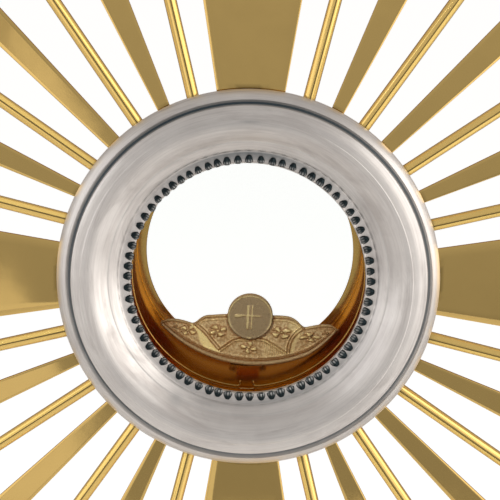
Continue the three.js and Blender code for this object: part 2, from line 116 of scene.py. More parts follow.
def node(tree, kind, *values, out=0, **settings):
    """A new node with its settings and its first inputs, as one of its output sockets."""
    made = tree.nodes.new("ShaderNode" + kind)
    for key, value in settings.items():
        setattr(made, key, value)
    for socket, value in zip(made.inputs, values):
        if value is not None:
            put(tree, value, socket)
    return made.outputs[out]


def math_node(tree, operation, *values):
    return node(tree, "Math", *values, operation=operation)


def times(tree, a, b):
    return math_node(tree, "MULTIPLY", a, b)


def plus(tree, a, b):
    return math_node(tree, "ADD", a, b)


def object_coordinates(tree):
    return node(tree, "TexCoord", out=3)


def painted(tree, name):
    """A finish value that the mesh's points carry."""
    return node(tree, "Attribute", attribute_name=name, attribute_type="GEOMETRY", out=2)


def noise_of(tree, vector, scale, detail=3.0, roughness=0.5, distortion=0.0):
    """A noise value from 0 to 1."""
    made = tree.nodes.new("ShaderNodeTexNoise")
    tree.links.new(vector, made.inputs["Vector"])
    made.inputs["Scale"].default_value = scale
    made.inputs["Detail"].default_value = detail
    made.inputs["Roughness"].default_value = roughness
    made.inputs["Distortion"].default_value = distortion
    return made.outputs[0]


def spread(tree, value, low, high, to_low=0.0, to_high=1.0):
    """Maps a value from one range to another, and clamps it."""
    return node(tree, "MapRange", value, low, high, to_low, to_high)


def colour_mix(tree, factor, first, second):
    made = tree.nodes.new("ShaderNodeMix")
    made.data_type = "RGBA"
    sockets = {s.identifier: s for s in made.inputs}
    put(tree, factor, sockets["Factor_Float"])
    put(tree, first, sockets["A_Color"])
    put(tree, second, sockets["B_Color"])
    return next(s for s in made.outputs if s.identifier == "Result_Color")


def bump_of(tree, height, strength, distance, normal=None):
    """A normal bumped by a height. Distance is in metres."""
    made = tree.nodes.new("ShaderNodeBump")
    made.inputs["Strength"].default_value = strength
    made.inputs["Distance"].default_value = distance
    tree.links.new(height, made.inputs["Height"])
    if normal is not None:
        tree.links.new(normal, made.inputs["Normal"])
    return made.outputs[0]


def mixed_shader(tree, factor, first, second):
    made = tree.nodes.new("ShaderNodeMixShader")
    for socket, value in zip(made.inputs, (factor, first, second)):
        put(tree, value, socket)
    return made.outputs[0]


def finish_shader(tree, shader, base, gloss, normal, metallic=1.0):
    """Sets a Principled shader's colour, roughness, normal and metallic."""
    for label, value in (("Base Color", base), ("Roughness", gloss), ("Normal", normal), ("Metallic", metallic)):
        put(tree, value, shader.inputs[label])


def rgb(red, green, blue):
    return (red, green, blue, 1.0)


def turning_coordinates(tree, axis, radial_scale, around_scale):
    """Coordinates that run slowly round an axis and quickly across it, so noise on them looks like turned metal."""
    x, y, z = node(tree, "SeparateXYZ", object_coordinates(tree)).node.outputs
    a, b, along = (x, z, y) if axis == "Y" else (x, y, z)
    radius = math_node(tree, "SQRT", plus(tree, times(tree, a, a), times(tree, b, b)))
    safe = math_node(tree, "MAXIMUM", radius, 1e-5)
    around = [times(tree, math_node(tree, "DIVIDE", s, safe), around_scale) for s in (a, b)]
    reach = plus(tree, radius, times(tree, along, 0.8))
    return node(tree, "CombineXYZ", *around, times(tree, reach, radial_scale))


# ------------------------------------------------------------------ materials
LINE_DEPTH = 0.00004  # of polishing lines, in metres


def metal(name, colour, roughness, axis=None, recess_colour=None, streak=0.25, darkening=0.5, ripple=0.0, pale=None, edge=None):
    """Plated metal: colour, soft smudges, fine polishing lines that follow the turning axis if it has one, and
    darker metal where the mesh attribute "recess" says so, which on the case wall is painted shade and on the rods
    holds a dark joint and a painted dark reflection line. Recess_colour is the colour there. Pale is the colour of a
    painted highlight, where the attribute "shine" is high. Edge holds the tints of a glancing view, where
    clean and where recess is high, and needs a recess colour."""
    material, tree, shader = new_material(name)
    where = object_coordinates(tree)
    if axis:
        lines = noise_of(tree, turning_coordinates(tree, axis, 2600, 2.2), 1.0, 4, 0.6)
        bands = noise_of(tree, turning_coordinates(tree, axis, 420, 1.6), 1.0, 3, 0.55)
    else:
        lines = noise_of(tree, where, 1800, 2, 0.5)
        bands = noise_of(tree, where, 160, 3, 0.5)
    clouds = noise_of(tree, where, 55, 4, 0.6, 0.6)
    darker = tuple(c * (1 - 0.22 * darkening) for c in colour[:3]) + (1,)
    base = colour_mix(tree, spread(tree, clouds, 0.35, 0.7), colour, darker)
    base = colour_mix(tree, spread(tree, bands, 0.4, 0.75, 0, 0.5 * streak), base, darker)
    gloss = plus(tree, spread(tree, clouds, 0.3, 0.75, roughness * 0.85, roughness * 1.25),
                 spread(tree, lines, 0.3, 0.7, 0, roughness * streak))
    metallic = 1.0
    if pale:
        shine = painted(tree, "shine")
        base = colour_mix(tree, shine, base, pale)
        metallic = spread(tree, shine, 0.0, 1.0, 1.0, 0.3)
    if recess_colour:
        recess = painted(tree, "recess")
        base = colour_mix(tree, recess, base, recess_colour)
        gloss = plus(tree, gloss, times(tree, recess, 0.12))
    if edge:
        put(tree, colour_mix(tree, recess, *edge), shader.inputs["Specular Tint"])
    normal = bump_of(tree, lines, 0.35 * streak, LINE_DEPTH)
    if ripple:
        normal = bump_of(tree, noise_of(tree, where, 70, 2, 0.4), ripple, 0.0004, normal)
    finish_shader(tree, shader, base, gloss, normal, metallic)
    return material


def satin_silver_material(name, axis):
    """Silver turned and brushed to satin: warm, with streaks and smears of tarnish that follow the turning, and
    blue-black where the mesh attribute "recess" says so: oxide patina, and on the moulding painted shade and painted
    dark reflections too."""
    material, tree, shader = new_material(name)
    where = object_coordinates(tree)
    lines = noise_of(tree, turning_coordinates(tree, axis, 2600, 2.4), 1.0, 4, 0.6)
    smears = noise_of(tree, turning_coordinates(tree, axis, 240, 1.7), 1.0, 4, 0.62, 0.8)
    clouds = noise_of(tree, where, 38, 4, 0.6, 0.5)
    silver, tarnish = rgb(0.95, 0.90, 0.86), rgb(0.64, 0.59, 0.56)
    base = colour_mix(tree, spread(tree, clouds, 0.35, 0.75, 0, 0.45), silver, tarnish)
    base = colour_mix(tree, spread(tree, smears, 0.5, 0.76, 0, 0.9), base, tarnish)
    base = colour_mix(tree, spread(tree, lines, 0.42, 0.75, 0, 0.32), base, rgb(0.5, 0.46, 0.44))
    # Blue-black oxide patina, and on the moulding painted shade and painted dark reflections, where recess is high.
    base = colour_mix(tree, painted(tree, "recess"), base, rgb(0.045, 0.085, 0.11))
    gloss = plus(tree, spread(tree, smears, 0.35, 0.8, 0.33, 0.46), spread(tree, lines, 0.3, 0.7, 0, 0.1))
    finish_shader(tree, shader, base, gloss, bump_of(tree, lines, 0.16, LINE_DEPTH))
    shader.inputs["Anisotropic"].default_value = 0.55
    flat = (1, 0, 1) if axis == "Y" else (1, 1, 0)
    across = node(tree, "VectorMath", where, flat, operation="MULTIPLY")
    put(tree, node(tree, "VectorMath", across, operation="NORMALIZE"), shader.inputs["Tangent"])
    return material


def luna_material():
    """Chased gold: granulated ground, warm dark ridges, painted shade round the motifs and a painted shadow under the
    disc where the mesh attribute "recess" is high, pale painted highlights where "shine" is high, and plain flat
    metal where "plain" is high."""
    material, tree, shader = new_material("luna_gold")
    where = object_coordinates(tree)
    plain = painted(tree, "plain")
    grains = noise_of(tree, where, 1150, 2, 0.6)
    patches = noise_of(tree, where, 210, 3, 0.6)
    worked = math_node(tree, "SUBTRACT", 1.0, plain)
    pits = times(tree, spread(tree, grains, 0.46, 0.62), worked)
    flecks = times(tree, spread(tree, grains, 0.42, 0.34), worked)
    base = colour_mix(tree, spread(tree, patches, 0.35, 0.7), rgb(0.72, 0.52, 0.265), rgb(0.58, 0.38, 0.17))
    for share, colour in (
            (times(tree, pits, 0.6), rgb(0.30, 0.145, 0.04)),
            (times(tree, flecks, 0.35), rgb(1.0, 0.86, 0.52)),
            (plain, rgb(0.325, 0.23, 0.12)),
            (painted(tree, "recess"), rgb(0.24, 0.082, 0.016)),
            (painted(tree, "shine"), rgb(1.0, 0.81, 0.37))):
        base = colour_mix(tree, share, base, colour)
    normal = bump_of(tree, times(tree, grains, worked), 0.6, 0.0003)
    finish_shader(tree, shader, base, spread(tree, patches, 0.3, 0.7, 0.22, 0.32), normal, 0.35)
    return material


def oxidised_material():
    """Blackened silver with bright flecks where the high points are rubbed."""
    material, tree, shader = new_material("oxidised_silver")
    grain = noise_of(tree, object_coordinates(tree), 1500, 3, 0.6)
    high = math_node(tree, "SUBTRACT", 1.0, painted(tree, "recess"))
    rubbed = times(tree, spread(tree, grain, 0.34, 0.46), high)
    base = colour_mix(tree, rubbed, rgb(0.022, 0.032, 0.036), rgb(0.75, 0.74, 0.72))
    finish_shader(tree, shader, base, spread(tree, grain, 0.3, 0.7, 0.3, 0.55), bump_of(tree, grain, 0.5, 0.0001))
    return material


def glass_material():
    """Clear glass that mirrors a little and lets light and sight straight through."""
    material = bpy.data.materials.new("clear_glass")
    tree, surface = empty_tree(material)
    clear = node(tree, "BsdfTransparent", rgb(0.995, 1, 0.998))
    smears = noise_of(tree, object_coordinates(tree), 40, 3, 0.5)
    mirror = tree.nodes.new("ShaderNodeBsdfAnisotropic")
    put(tree, spread(tree, smears, 0.4, 0.7, 0.01, 0.05), mirror.inputs["Roughness"])
    put(tree, mixed_shader(tree, node(tree, "Fresnel", 1.13), clear, mirror.outputs[0]), surface)
    return material


def grainy_material(name, noise, colours, gloss, bump, metallic):
    """An unpolished material whose colour, roughness and bump all follow one noise."""
    material, tree, shader = new_material(name)
    grain = noise_of(tree, object_coordinates(tree), *noise)
    base = colour_mix(tree, spread(tree, grain, *colours[0]), *colours[1:])
    finish_shader(tree, shader, base, spread(tree, grain, *gloss), bump_of(tree, grain, 0.6, bump), metallic)
    return material


def felt_material():
    material = grainy_material("green_felt", (900, 5, 0.7, 1.5),
                               ((0.3, 0.7), rgb(0.010, 0.055, 0.030), rgb(0.022, 0.11, 0.06)),
                               (0.2, 0.8, 0.85, 1.0), 0.0004, 0.0)
    material.node_tree.nodes["Principled BSDF"].inputs["Sheen Weight"].default_value = 0.4
    return material


def iron_material():
    return grainy_material("cast_iron", (420, 5, 0.65),
                           ((0.35, 0.7), rgb(0.05, 0.05, 0.055), rgb(0.11, 0.105, 0.10)),
                           (0.3, 0.7, 0.5, 0.8), 0.0003, 0.6)


GOLD = rgb(0.95, 0.645, 0.22)
PALE_GOLD = rgb(0.97, 0.62, 0.18)
# DEEP_GOLD colours the case wall's painted shade and darkens the spring wire.
DEEP_GOLD = rgb(0.33, 0.10, 0.03)
DARK_GOLD = rgb(0.16, 0.07, 0.02)
RAY_SHADE = rgb(0.14, 0.09, 0.025)
HIGHLIGHT_GOLD = rgb(1.0, 0.72, 0.20)
GLANCING_GOLD = (rgb(0.96, 0.72, 0.42), rgb(0.46, 0.24, 0.13))  # clean, and under the case's painted shade

MATERIALS = {
    "satin_silver": satin_silver_material("satin_silver", "Y"),
    "satin_silver_upright": satin_silver_material("satin_silver_upright", "Z"),
    "oxidised_silver": oxidised_material(),
    "bright_gold": metal("bright_gold", GOLD, 0.10, None, DARK_GOLD, 0.2, 0.3),
    "turned_gold": metal("turned_gold", GOLD, 0.09, "Z", DARK_GOLD, 0.25, 0.3),
    "case_gold": metal("case_gold", PALE_GOLD, 0.12, "Y", DEEP_GOLD, 0.6, 0.4, edge=GLANCING_GOLD),
    "ray_gold": metal("ray_gold", GOLD, 0.06, None, RAY_SHADE, 0.10, 0.2, 0.06, HIGHLIGHT_GOLD),
    "luna_gold": luna_material(),
    "hidden_gold": metal("hidden_gold", rgb(0.86, 0.53, 0.21), 0.22, None, None, 0.3, 0.4),
    "clear_glass": glass_material(),
    "steel": metal("steel", rgb(0.55, 0.56, 0.57), 0.3, "Z", None, 0.4, 0.5),
    "cast_iron": iron_material(),
    "green_felt": felt_material(),
}


# ------------------------------------------------------------------ mesh helpers
def recalculated(mesh):
    """Merges doubled points and turns every face outward."""
    made = bmesh.new()
    made.from_mesh(mesh)
    bmesh.ops.remove_doubles(made, verts=made.verts, dist=1e-7)
    bmesh.ops.recalc_face_normals(made, faces=made.faces)
    made.to_mesh(mesh)
    made.free()


def placed(name, data, location=(0, 0, 0)):
    """A new object in the scene."""
    made = bpy.data.objects.new(name, data)
    made.location = location
    bpy.context.scene.collection.objects.link(made)
    return made


def piece(name, points, faces, material, replaces=(), body="stand", origin=HEAD, recess=None, crease=32, **finish):
    """A mesh object from points in millimetres about origin. It rides on a body and stands for CAD nodes.
    Recess and any further values per point, such as painted highlights, are kept as mesh attributes."""
    mesh = bpy.data.meshes.new(name)
    mesh.from_pydata([tuple(p) for p in np.asarray(points, float) * MM], [], faces)
    if recess is not None:
        finish["recess"] = recess
    for label, values in finish.items():
        mesh.attributes.new(label, "FLOAT", "POINT").data.foreach_set("value", np.asarray(values, np.float32))
    recalculated(mesh)
    mesh.shade_smooth()
    mesh.set_sharp_from_angle(angle=math.radians(crease))
    mesh.materials.append(MATERIALS[material])
    made = placed(name, mesh, origin)
    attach(made, body)
    if replaces:
        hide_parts(*replaces)
    return made


def join(parts):
    """Joins (points, faces) pairs, or (points, faces, recess) triples, into one."""
    points, faces, recess = [], [], []
    for part in parts:
        base = sum(len(p) for p in points)
        points.append(np.asarray(part[0], float))
        faces += [tuple(i + base for i in f) for f in part[1]]
        recess.append(np.asarray(part[2], float) if len(part) > 2 else np.zeros(len(part[0])))
    return np.concatenate(points), faces, np.concatenate(recess)


def grid_faces(rows, columns, closed_rows=False, closed_columns=False):
    """Quads over a grid of points stored row by row."""
    faces = []
    for i in range(rows if closed_rows else rows - 1):
        for j in range(columns if closed_columns else columns - 1):
            i1, j1 = (i + 1) % rows, (j + 1) % columns
            faces.append((i * columns + j, i * columns + j1, i1 * columns + j1, i1 * columns + j))
    return faces


def rounded(outline, radius=0.3, arc=3, closed=True, sharp_above=22):
    """Cuts each sharp corner of an outline with a small arc."""
    made = []
    count = len(outline)
    pts = [Vector(p) for p in outline]
    for i, corner in enumerate(pts):
        if not closed and i in (0, count - 1):
            made.append(tuple(corner))
            continue
        before, after = pts[i - 1] - corner, pts[(i + 1) % count] - corner
        if before.length < 1e-6 or after.length < 1e-6:
            continue
        turn = 180 - math.degrees(before.angle(after))
        if turn < sharp_above:
            made.append(tuple(corner))
            continue
        cut = min(radius, 0.4 * before.length, 0.4 * after.length)
        start, end = corner + before.normalized() * cut, corner + after.normalized() * cut
        for k in range(arc + 1):
            t = k / arc
            made.append(tuple(start * (1 - t) ** 2 + corner * 2 * t * (1 - t) + end * t ** 2))
    return made


def flowing(points, steps=4):
    """A smooth curve through points."""
    pts = [Vector(p) for p in points]
    pts = [pts[0] * 2 - pts[1]] + pts + [pts[-1] * 2 - pts[-2]]
    made = []
    for i in range(1, len(pts) - 2):
        a, b, c, d = pts[i - 1:i + 3]
        for k in range(steps):
            t = k / steps
            made.append(tuple(0.5 * (2 * b + (c - a) * t + (2 * a - 5 * b + 4 * c - d) * t ** 2
                                     + (3 * b - a - 3 * c + d) * t ** 3)))
    made.append(tuple(pts[-2]))
    return made


def around_axis(ring, height, angle, axis):
    """A point at a radius, a height along the axis and an angle round it."""
    x, y = ring * math.cos(angle), ring * math.sin(angle)
    return (x, height, y) if axis == "Y" else (x, y, height)


def turned(outline, segments=128, axis="Y", shape=None, centre=(0, 0, 0)):
    """A solid turned from [radius, height] points. Shape may change a point's radius and height by its angle.
    An outline that starts and ends on the axis is capped there. Any other outline is closed on itself."""
    capped = abs(outline[0][0]) < 1e-6
    inner = outline[1:-1] if capped else outline
    rows = []
    for i in range(segments):
        angle = TAU * i / segments
        for ring, height in inner:
            if shape:
                ring, height = shape(ring, height, angle)
            rows.append(around_axis(ring, height, angle, axis))
    faces = grid_faces(segments, len(inner), True, not capped)
    if capped:
        count = len(inner)
        for end, offset in ((0, 0), (-1, count - 1)):
            rows.append(around_axis(0, outline[end][1], 0, axis))
            tip = len(rows) - 1
            faces += [(tip, i * count + offset, ((i + 1) % segments) * count + offset) for i in range(segments)]
    return np.array(rows) + np.array(centre, float), faces


def swept(path, radius, sides=12):
    """A round wire along a path of points, with rounded ends."""
    pts = [Vector(p) for p in path]
    count = len(pts)
    tangents = [(pts[min(i + 1, count - 1)] - pts[max(i - 1, 0)]).normalized() for i in range(count)]
    side = tangents[0].orthogonal().normalized()
    rings, cap_steps = [], 4
    stations = []
    for k in range(cap_steps):
        lift = math.pi / 2 * (1 - k / cap_steps)
        stations.append((pts[0] - tangents[0] * radius * math.sin(lift), tangents[0], radius * math.cos(lift)))
    stations += [(p, t, radius) for p, t in zip(pts, tangents)]
    for k in range(1, cap_steps + 1):
        lift = math.pi / 2 * k / cap_steps
        stations.append((pts[-1] + tangents[-1] * radius * math.sin(lift), tangents[-1], radius * math.cos(lift)))
    for centre, tangent, size in stations:
        side = (side - tangent * side.dot(tangent)).normalized()
        other = tangent.cross(side)
        size = max(size, 0.02 * radius)
        for j in range(sides):
            angle = TAU * j / sides
            rings.append(centre + (side * math.cos(angle) + other * math.sin(angle)) * size)
    faces = grid_faces(len(stations), sides, False, True)
    faces.append(tuple(range(sides)))
    faces.append(tuple(range(len(rings) - sides, len(rings))))
    return np.array([tuple(p) for p in rings]), faces


def smoothstep(low, high, value):
    t = min(max((value - low) / (high - low), 0), 1)
    return t * t * (3 - 2 * t)


# ------------------------------------------------------------------ moulding
SCRIBE_RADIUS, SCRIBE_OFFSET, SCRIBE_ANGLE = 63.4, 0.95, math.radians(235)
SCRIBE_DEPTH, SCRIBE_WIDTH = 0.16, 0.22
GROOVE = 68.75

MOULDING_FACE = [
    [(73.5, 5.5), (73.5, 4.6), (73.1, 3.6), (72.2, 2.4), (71.1, 1.5), (70.1, 0.95)],
    [(69.5, 1.7), (68.85, 2.0), (68.35, 1.6)],
    [(67.9, 0.0), (66.2, -0.65), (64.4, -1.05), (62.3, -1.2), (60.0, -0.85), (58.0, 0.0), (56.2, 1.15),
     (54.7, 2.35), (53.95, 2.9), (53.4, 3.1), (52.2, 3.75), (50.75, 4.65), (50.2, 5.1), (49.8, 5.5), (49.2, LAND)],
    [(47.0, LAND), (45.85, LAND), (45.65, 5.25), (45.3, 5.3), (OPENING, 5.9)],
]
# Painted dark reflections on the face: strength, radius, angle, reach along the radius, and spread in degrees.
DARK_REFLECTIONS = [
    (0.30, 61.9, math.radians(90), 0.7, 4.5), (0.13, 60.3, math.radians(92), 2.6, 24),
    (0.26, 54.6, math.radians(240), 2.4, 3.2), (0.15, 51.6, math.radians(252), 1.2, 8),
    (0.14, 57.5, math.radians(228), 1.1, 7), (0.16, 51.8, math.radians(52), 2.2, 34),
    (0.12, 52.0, math.radians(330), 2.5, 15),
]
MOULDING_BACK = [
    (OPENING, 7.2), (50.9, 7.2), (56.6, 3.6), (56.6, 8.3), (58.6, 8.3), (58.6, 1.6), (62.3, 0.5), (67.0, 1.6),
    (67.6, 3.3), (70.4, 3.6), (71.9, 5.5),
]


def groove_shift(angle):
    """The groove was cut a little off the centre."""
    return 0.06 + 0.42 * math.cos(angle + math.radians(20))


def dark_reflection(radius, angle, at_radius, at_angle, reach, spread_angle):
    """How strong a painted dark reflection is at a point: 1 in its middle, 0 outside it."""
    turn = math.degrees(math.atan2(math.sin(angle - at_angle), math.cos(angle - at_angle)))
    return math.exp(-(turn / spread_angle) ** 2 - ((radius - at_radius) / reach) ** 2)


def moulding_recess(radius, depth, angle):
    """How dark a point of the moulding's front is: oxide patina in the groove, two darker turned lines, painted shadow
    on the groove's outer wall, painted shade beside the bead row and painted dark reflections. The painted shade beside
    the beads is strongest at the top."""
    if depth > 6.5:
        return 0.0
    centre = GROOVE + groove_shift(angle)
    right = max(math.cos(angle), 0)
    # Oxide patina in the groove, with painted shade that makes it darker at the top and lighter on the right.
    groove = 0.80 + 0.14 * math.sin(angle) - 0.06 * right
    groove *= 1 - smoothstep(0.25, 0.65, abs(radius - centre))
    # Painted shadow on the groove's outer wall, fainter on the right.
    outer = 0.42 * (1 - 0.85 * right)
    groove = max(groove, outer * (1 - smoothstep(0.4, 0.8, abs(radius - centre - 0.7))))
    roll = 0.09 * right * (1 - smoothstep(0.6, 1.8, abs(radius - 71.4)))
    step = 0.10 * (1 - smoothstep(0.1, 0.6, abs(radius - 53.7)))
    inner = 0.10 * (1 - smoothstep(0.1, 0.6, abs(radius - 50.3)))
    # Painted shade beside the bead row, strongest at the top, and a painted halo of shade round the row, strongest at
    # the lower right.
    upward = max(math.sin(angle), 0) ** 6
    downward = max(math.cos(angle - math.radians(290)), 0) ** 2
    shade_and_dark_reflection = 0.75 * upward * (1 - smoothstep(0.6, 2.0, abs(radius - 48.3)))
    darkening = (0.03 + 0.3 * downward) * (0.6 + 0.4 * math.sin(5 * angle + 2 * math.sin(3 * angle)))
    shade_and_dark_reflection = max(shade_and_dark_reflection, darkening * (1 - smoothstep(0.2, 1.1, abs(radius - 49.2))))
    # Painted dark reflections on the face.
    for strength, *where in DARK_REFLECTIONS:
        shade_and_dark_reflection = max(shade_and_dark_reflection, strength * dark_reflection(radius, angle, *where))
    return max(groove, roll, step, inner, shade_and_dark_reflection)


def build_moulding():
    face = []
    for stretch in MOULDING_FACE[:3]:
        face += flowing(stretch, 5)
    face += rounded(MOULDING_FACE[3], 0.25, 3, False)
    outline = face + rounded(MOULDING_BACK, 0.25, 2, False)

    def scribe(radius, depth, angle):
        """The groove is off the centre. An off-centre turned line crosses the crest too, and the surface outside it
        lies a little deeper."""
        if depth < 3:
            near = 1 - smoothstep(0.9, 2.2, abs(radius - GROOVE))
            radius += near * groove_shift(angle)
        if depth > 0.45 or not 60 < radius < 67.5:
            return radius, depth
        line = SCRIBE_RADIUS + SCRIBE_OFFSET * math.cos(angle - SCRIBE_ANGLE)
        fall = smoothstep(line, line + SCRIBE_WIDTH, radius) * (1 - smoothstep(line + 0.6, line + 3, radius))
        drop = SCRIBE_DEPTH * (1 - 0.5 * max(math.cos(angle), 0))
        return radius, depth + drop * fall

    dense = []
    for first, second in zip(outline, outline[1:] + outline[:1]):
        dense.append(first)
        if 61.5 < first[0] < 66 and first[1] < 0:
            dense += [tuple(Vector(first).lerp(Vector(second), t)) for t in (0.25, 0.5, 0.75)]
    points, faces = turned(dense, 256, "Y", scribe)
    recess = [moulding_recess(math.hypot(p[0], p[2]), p[1], math.atan2(p[2], p[0])) for p in points]
    piece("satin_moulding", points, faces, "satin_silver", ["silver_ring"], recess=recess, crease=40)


# ------------------------------------------------------------------ beads
def shell_bead(width, length, height):
    """A little fan shell that points along +x: round behind, drawn to a tip in front, and fluted on top."""
    rings, around = 12, 22
    points, recess = [], []
    for i in range(rings + 1):
        lift = math.pi * i / rings
        s = -math.cos(lift)
        swell = math.sin(lift) ** 0.45 * (0.88 - 0.28 * s)
        for j in range(around):
            turn = TAU * j / around
            side, up = math.sin(turn), math.cos(turn)
            crest = 0.5 + 0.5 * math.cos(TAU * 1.5 * side)
            rise = height * up * swell * (0.7 + 0.3 * crest) if up > 0 else 0.2 * up * swell
            fringe = 0.14 * length * crest * max(-s, 0)
            points.append((s * length / 2 - fringe, -rise, side * swell * width / 2))
            recess.append(1 - 0.75 * crest ** 2 * smoothstep(0.1, 0.4, up) * (1 - smoothstep(-0.6, 0.0, s)))
    return np.array(points), grid_faces(rings + 1, around, False, True), recess


def build_beads():
    chance = random.Random(11)
    row = []
    angle = 0.0
    gaps = [1 + chance.uniform(-0.11, 0.11) for _ in range(BEAD_COUNT)]
    for gap in gaps:
        angle += TAU * gap / sum(gaps)
        scale = chance.uniform(0.92, 1.06) - 0.07 * math.sin(angle)
        points, faces, recess = shell_bead(3.4 * scale, 3.0 * scale, 1.35)
        lean = chance.uniform(-0.14, 0.14)
        centre = BEAD_RADIUS + chance.uniform(-0.12, 0.12)
        c, s = math.cos(angle), math.sin(angle)
        x = points[:, 0] * math.cos(lean) - points[:, 2] * math.sin(lean) + centre
        z = points[:, 0] * math.sin(lean) + points[:, 2] * math.cos(lean)
        y = points[:, 1] + LAND - 0.15
        row.append((np.stack([x * c - z * s + BEAD_SHIFT, y, x * s + z * c], 1), faces, recess))
    points, faces, recess = join(row)
    piece("shell_bead_row", points, faces, "oxidised_silver", ["bead_row"], recess=recess, crease=60)


# ------------------------------------------------------------------ case
def case_painted_shade(radius, depth, angle):
    """Painted shade and painted dark reflections inside the wall: darker and redder at the sides, and least at its rear
    lip. A few darker rings lie near the front.
    """
    if radius > CASE_INNER + 0.6:
        return 0.0
    side = 1 - smoothstep(0.65, 0.95, abs(math.sin(angle)))
    # Painted shade and dark reflections, strongest on the sides and fading towards the rear lip.
    body = 0.1 + (0.38 + 0.5 * side) * (1 - smoothstep(26 + 13 * side, 44 + 2 * side, depth))
    rings = 0.45 * (0.5 + 0.5 * math.cos(TAU * depth / 3.6)) * (1 - smoothstep(17, 24, depth))
    return min(body + rings, 1)


def build_case():
    grooves = []
    for depth in (46.0, 44.0, 22.0, 20.0):
        grooves += [(CASE_OUTER, depth + 0.35), (CASE_OUTER - 0.35, depth), (CASE_OUTER, depth - 0.35)]
    wall = [
        (CASE_INNER, 12.0), (45.3, 12.0), (45.3, 7.5), (CASE_OUTER, 7.5), *reversed(grooves),
        (CASE_OUTER, CASE_BACK - 2.5), (48.6, CASE_BACK - 1.9), (48.6, CASE_BACK), (46.9, CASE_BACK),
        (CASE_INNER + 0.15, CASE_BACK - 0.7), (CASE_INNER, CASE_BACK - 3.2),
    ]
    dense = []
    outline = rounded(wall, 0.25, 3)
    for first, second in zip(outline, outline[1:] + outline[:1]):
        steps = max(1, round(math.dist(first, second) / 1.5))
        dense += [tuple(Vector(first).lerp(Vector(second), k / steps)) for k in range(steps)]
    points, faces = turned(dense, 192)
    recess = [case_painted_shade(math.hypot(p[0], p[2]), p[1], math.atan2(p[2], p[0])) for p in points]
    piece("case_wall", points, faces, "case_gold", ["case_drum"], recess=recess)

    flange = head_box("ray_flange")
    outline = [(47.8, flange[0].y), (70.0, flange[0].y), (70.0, flange[1].y), (47.8, flange[1].y)]
    points, faces = turned(rounded(outline, 0.3, 3), 160)
    piece("ray_ring", points, faces, "case_gold", ["ray_flange"])


def pane(name, node_name, radius, body):
    low, high = head_box(node_name)
    cut = 0.35
    outline = [(0, low.y), (radius - cut, low.y), (radius, low.y + cut), (radius, high.y - cut),
               (radius - cut, high.y), (0, high.y)]
    points, faces = turned(outline, 128)
    piece(name, points, faces, "clear_glass", [node_name], body, crease=20)


def build_spring_ring():
    """A round wire ring, open at the bottom, with both ends bent towards the axis."""
    radius, ring, gap, tip = 0.45, 45.4, math.radians(3.6), 2.0
    depth = (head_box("glass_spring_ring")[0].y + head_box("glass_spring_ring")[1].y) / 2

    def at(angle, reach):
        return (reach * math.cos(angle), depth, reach * math.sin(angle))

    first, last = -math.pi / 2 + gap, 1.5 * math.pi - gap
    bend = 0.7
    path = [at(first - 0.004, ring - tip), at(first - 0.002, ring - tip * 0.55), at(first, ring - bend),
            at(first + 0.004, ring - bend * 0.3)]
    steps = 120
    path += [at(first + 0.016 + (last - first - 0.032) * i / steps, ring) for i in range(steps + 1)]
    path += [at(last - 0.004, ring - bend * 0.3), at(last, ring - bend), at(last + 0.002, ring - tip * 0.55),
             at(last + 0.004, ring - tip)]
    points, faces = swept(path, radius, 12)
    piece("spring_wire", points, faces, "case_gold", ["glass_spring_ring"], recess=[0.45] * len(points))


# ------------------------------------------------------------------ rays
RAY_ROOT, RAY_INNER, RAY_WIDTH_AT = 72.2, 60.0, 75.4
ROD_WIDTH, ROD_HEIGHT, SHEET = 4.75, 2.4, 1.2
REFLECTION_LINE = -0.3  # a painted dark reflection line runs along each rod, this far from its middle
ARMS = 4
FLAT_TIP, ROD_TIP, DIAGONAL_TIP, BROAD_TIP = 138, 133.8, 145, 152
QUARTER = [
    ("ray_rod", 17.55, 13.65, ROD_TIP, 0, 0),
    ("ray_flat", 26.75, 24.65, FLAT_TIP, 5.2, 6),
    ("ray_rod", 35.85, 34.6, ROD_TIP, 0, 0),
]
# How far single rays are turned about their own length, in degrees, as they were soldered.
ROLLS = {"ray_diagonal_02": -4.2, "ray_flat_01": -1.0}


def ray_list():
    """Every ray as (name, root angle, direction, tip radius, width, taper), angles in degrees."""
    rays, counts = [], {}

    def add(kind, root, direction, tip, width, taper):
        counts[kind] = counts.get(kind, 0) + 1
        rays.append((f"{kind}_{counts[kind]:02d}", root, direction, tip, width, taper))

    for arm in range(ARMS):
        base = arm * 360 / ARMS
        add("ray_broad", base, base, BROAD_TIP, 27, 18.3)
        for kind, root, direction, tip, width, taper in QUARTER:
            add(kind, base + root, base + direction, tip, width, taper)
        add("ray_diagonal", base + 45, base + 45, DIAGONAL_TIP, 6.1, 4.25)
        for kind, root, direction, tip, width, taper in reversed(QUARTER):
            add(kind, base + 90 - root, base + 90 - direction, tip, width, taper)
    return rays


def flat_section(half):
    """Half widths and heights of a flat ray's section, from its left foot over the top to its right foot."""
    bevel, lip = 0.32, 0.1
    left = [(-half, 0.0), (-half, SHEET - bevel), (-half + lip * 0.6, SHEET - lip * 0.9), (-half + bevel, SHEET)]
    flat = [(-half + bevel + (2 * half - 2 * bevel) * i / 8, SHEET) for i in range(1, 8)]
    return left + flat + [(-x, h) for x, h in reversed(left)]


def rod_section():
    """A half-round section, with its points packed close about the painted line."""
    half = ROD_WIDTH / 2
    steps = 40
    sides = [-half * math.cos(math.pi * i / steps) for i in range(1, steps)]
    sides = [x for x in sides if abs(x - REFLECTION_LINE) > 0.34] + [REFLECTION_LINE + x for x in (-0.34, -0.2, 0.0, 0.2, 0.34)]
    made = [(x, ROD_HEIGHT * (1 - (x / half) ** 2) ** 0.46) for x in sorted(sides)]
    return [(-half, 0.0)] + made + [(half, 0.0)]


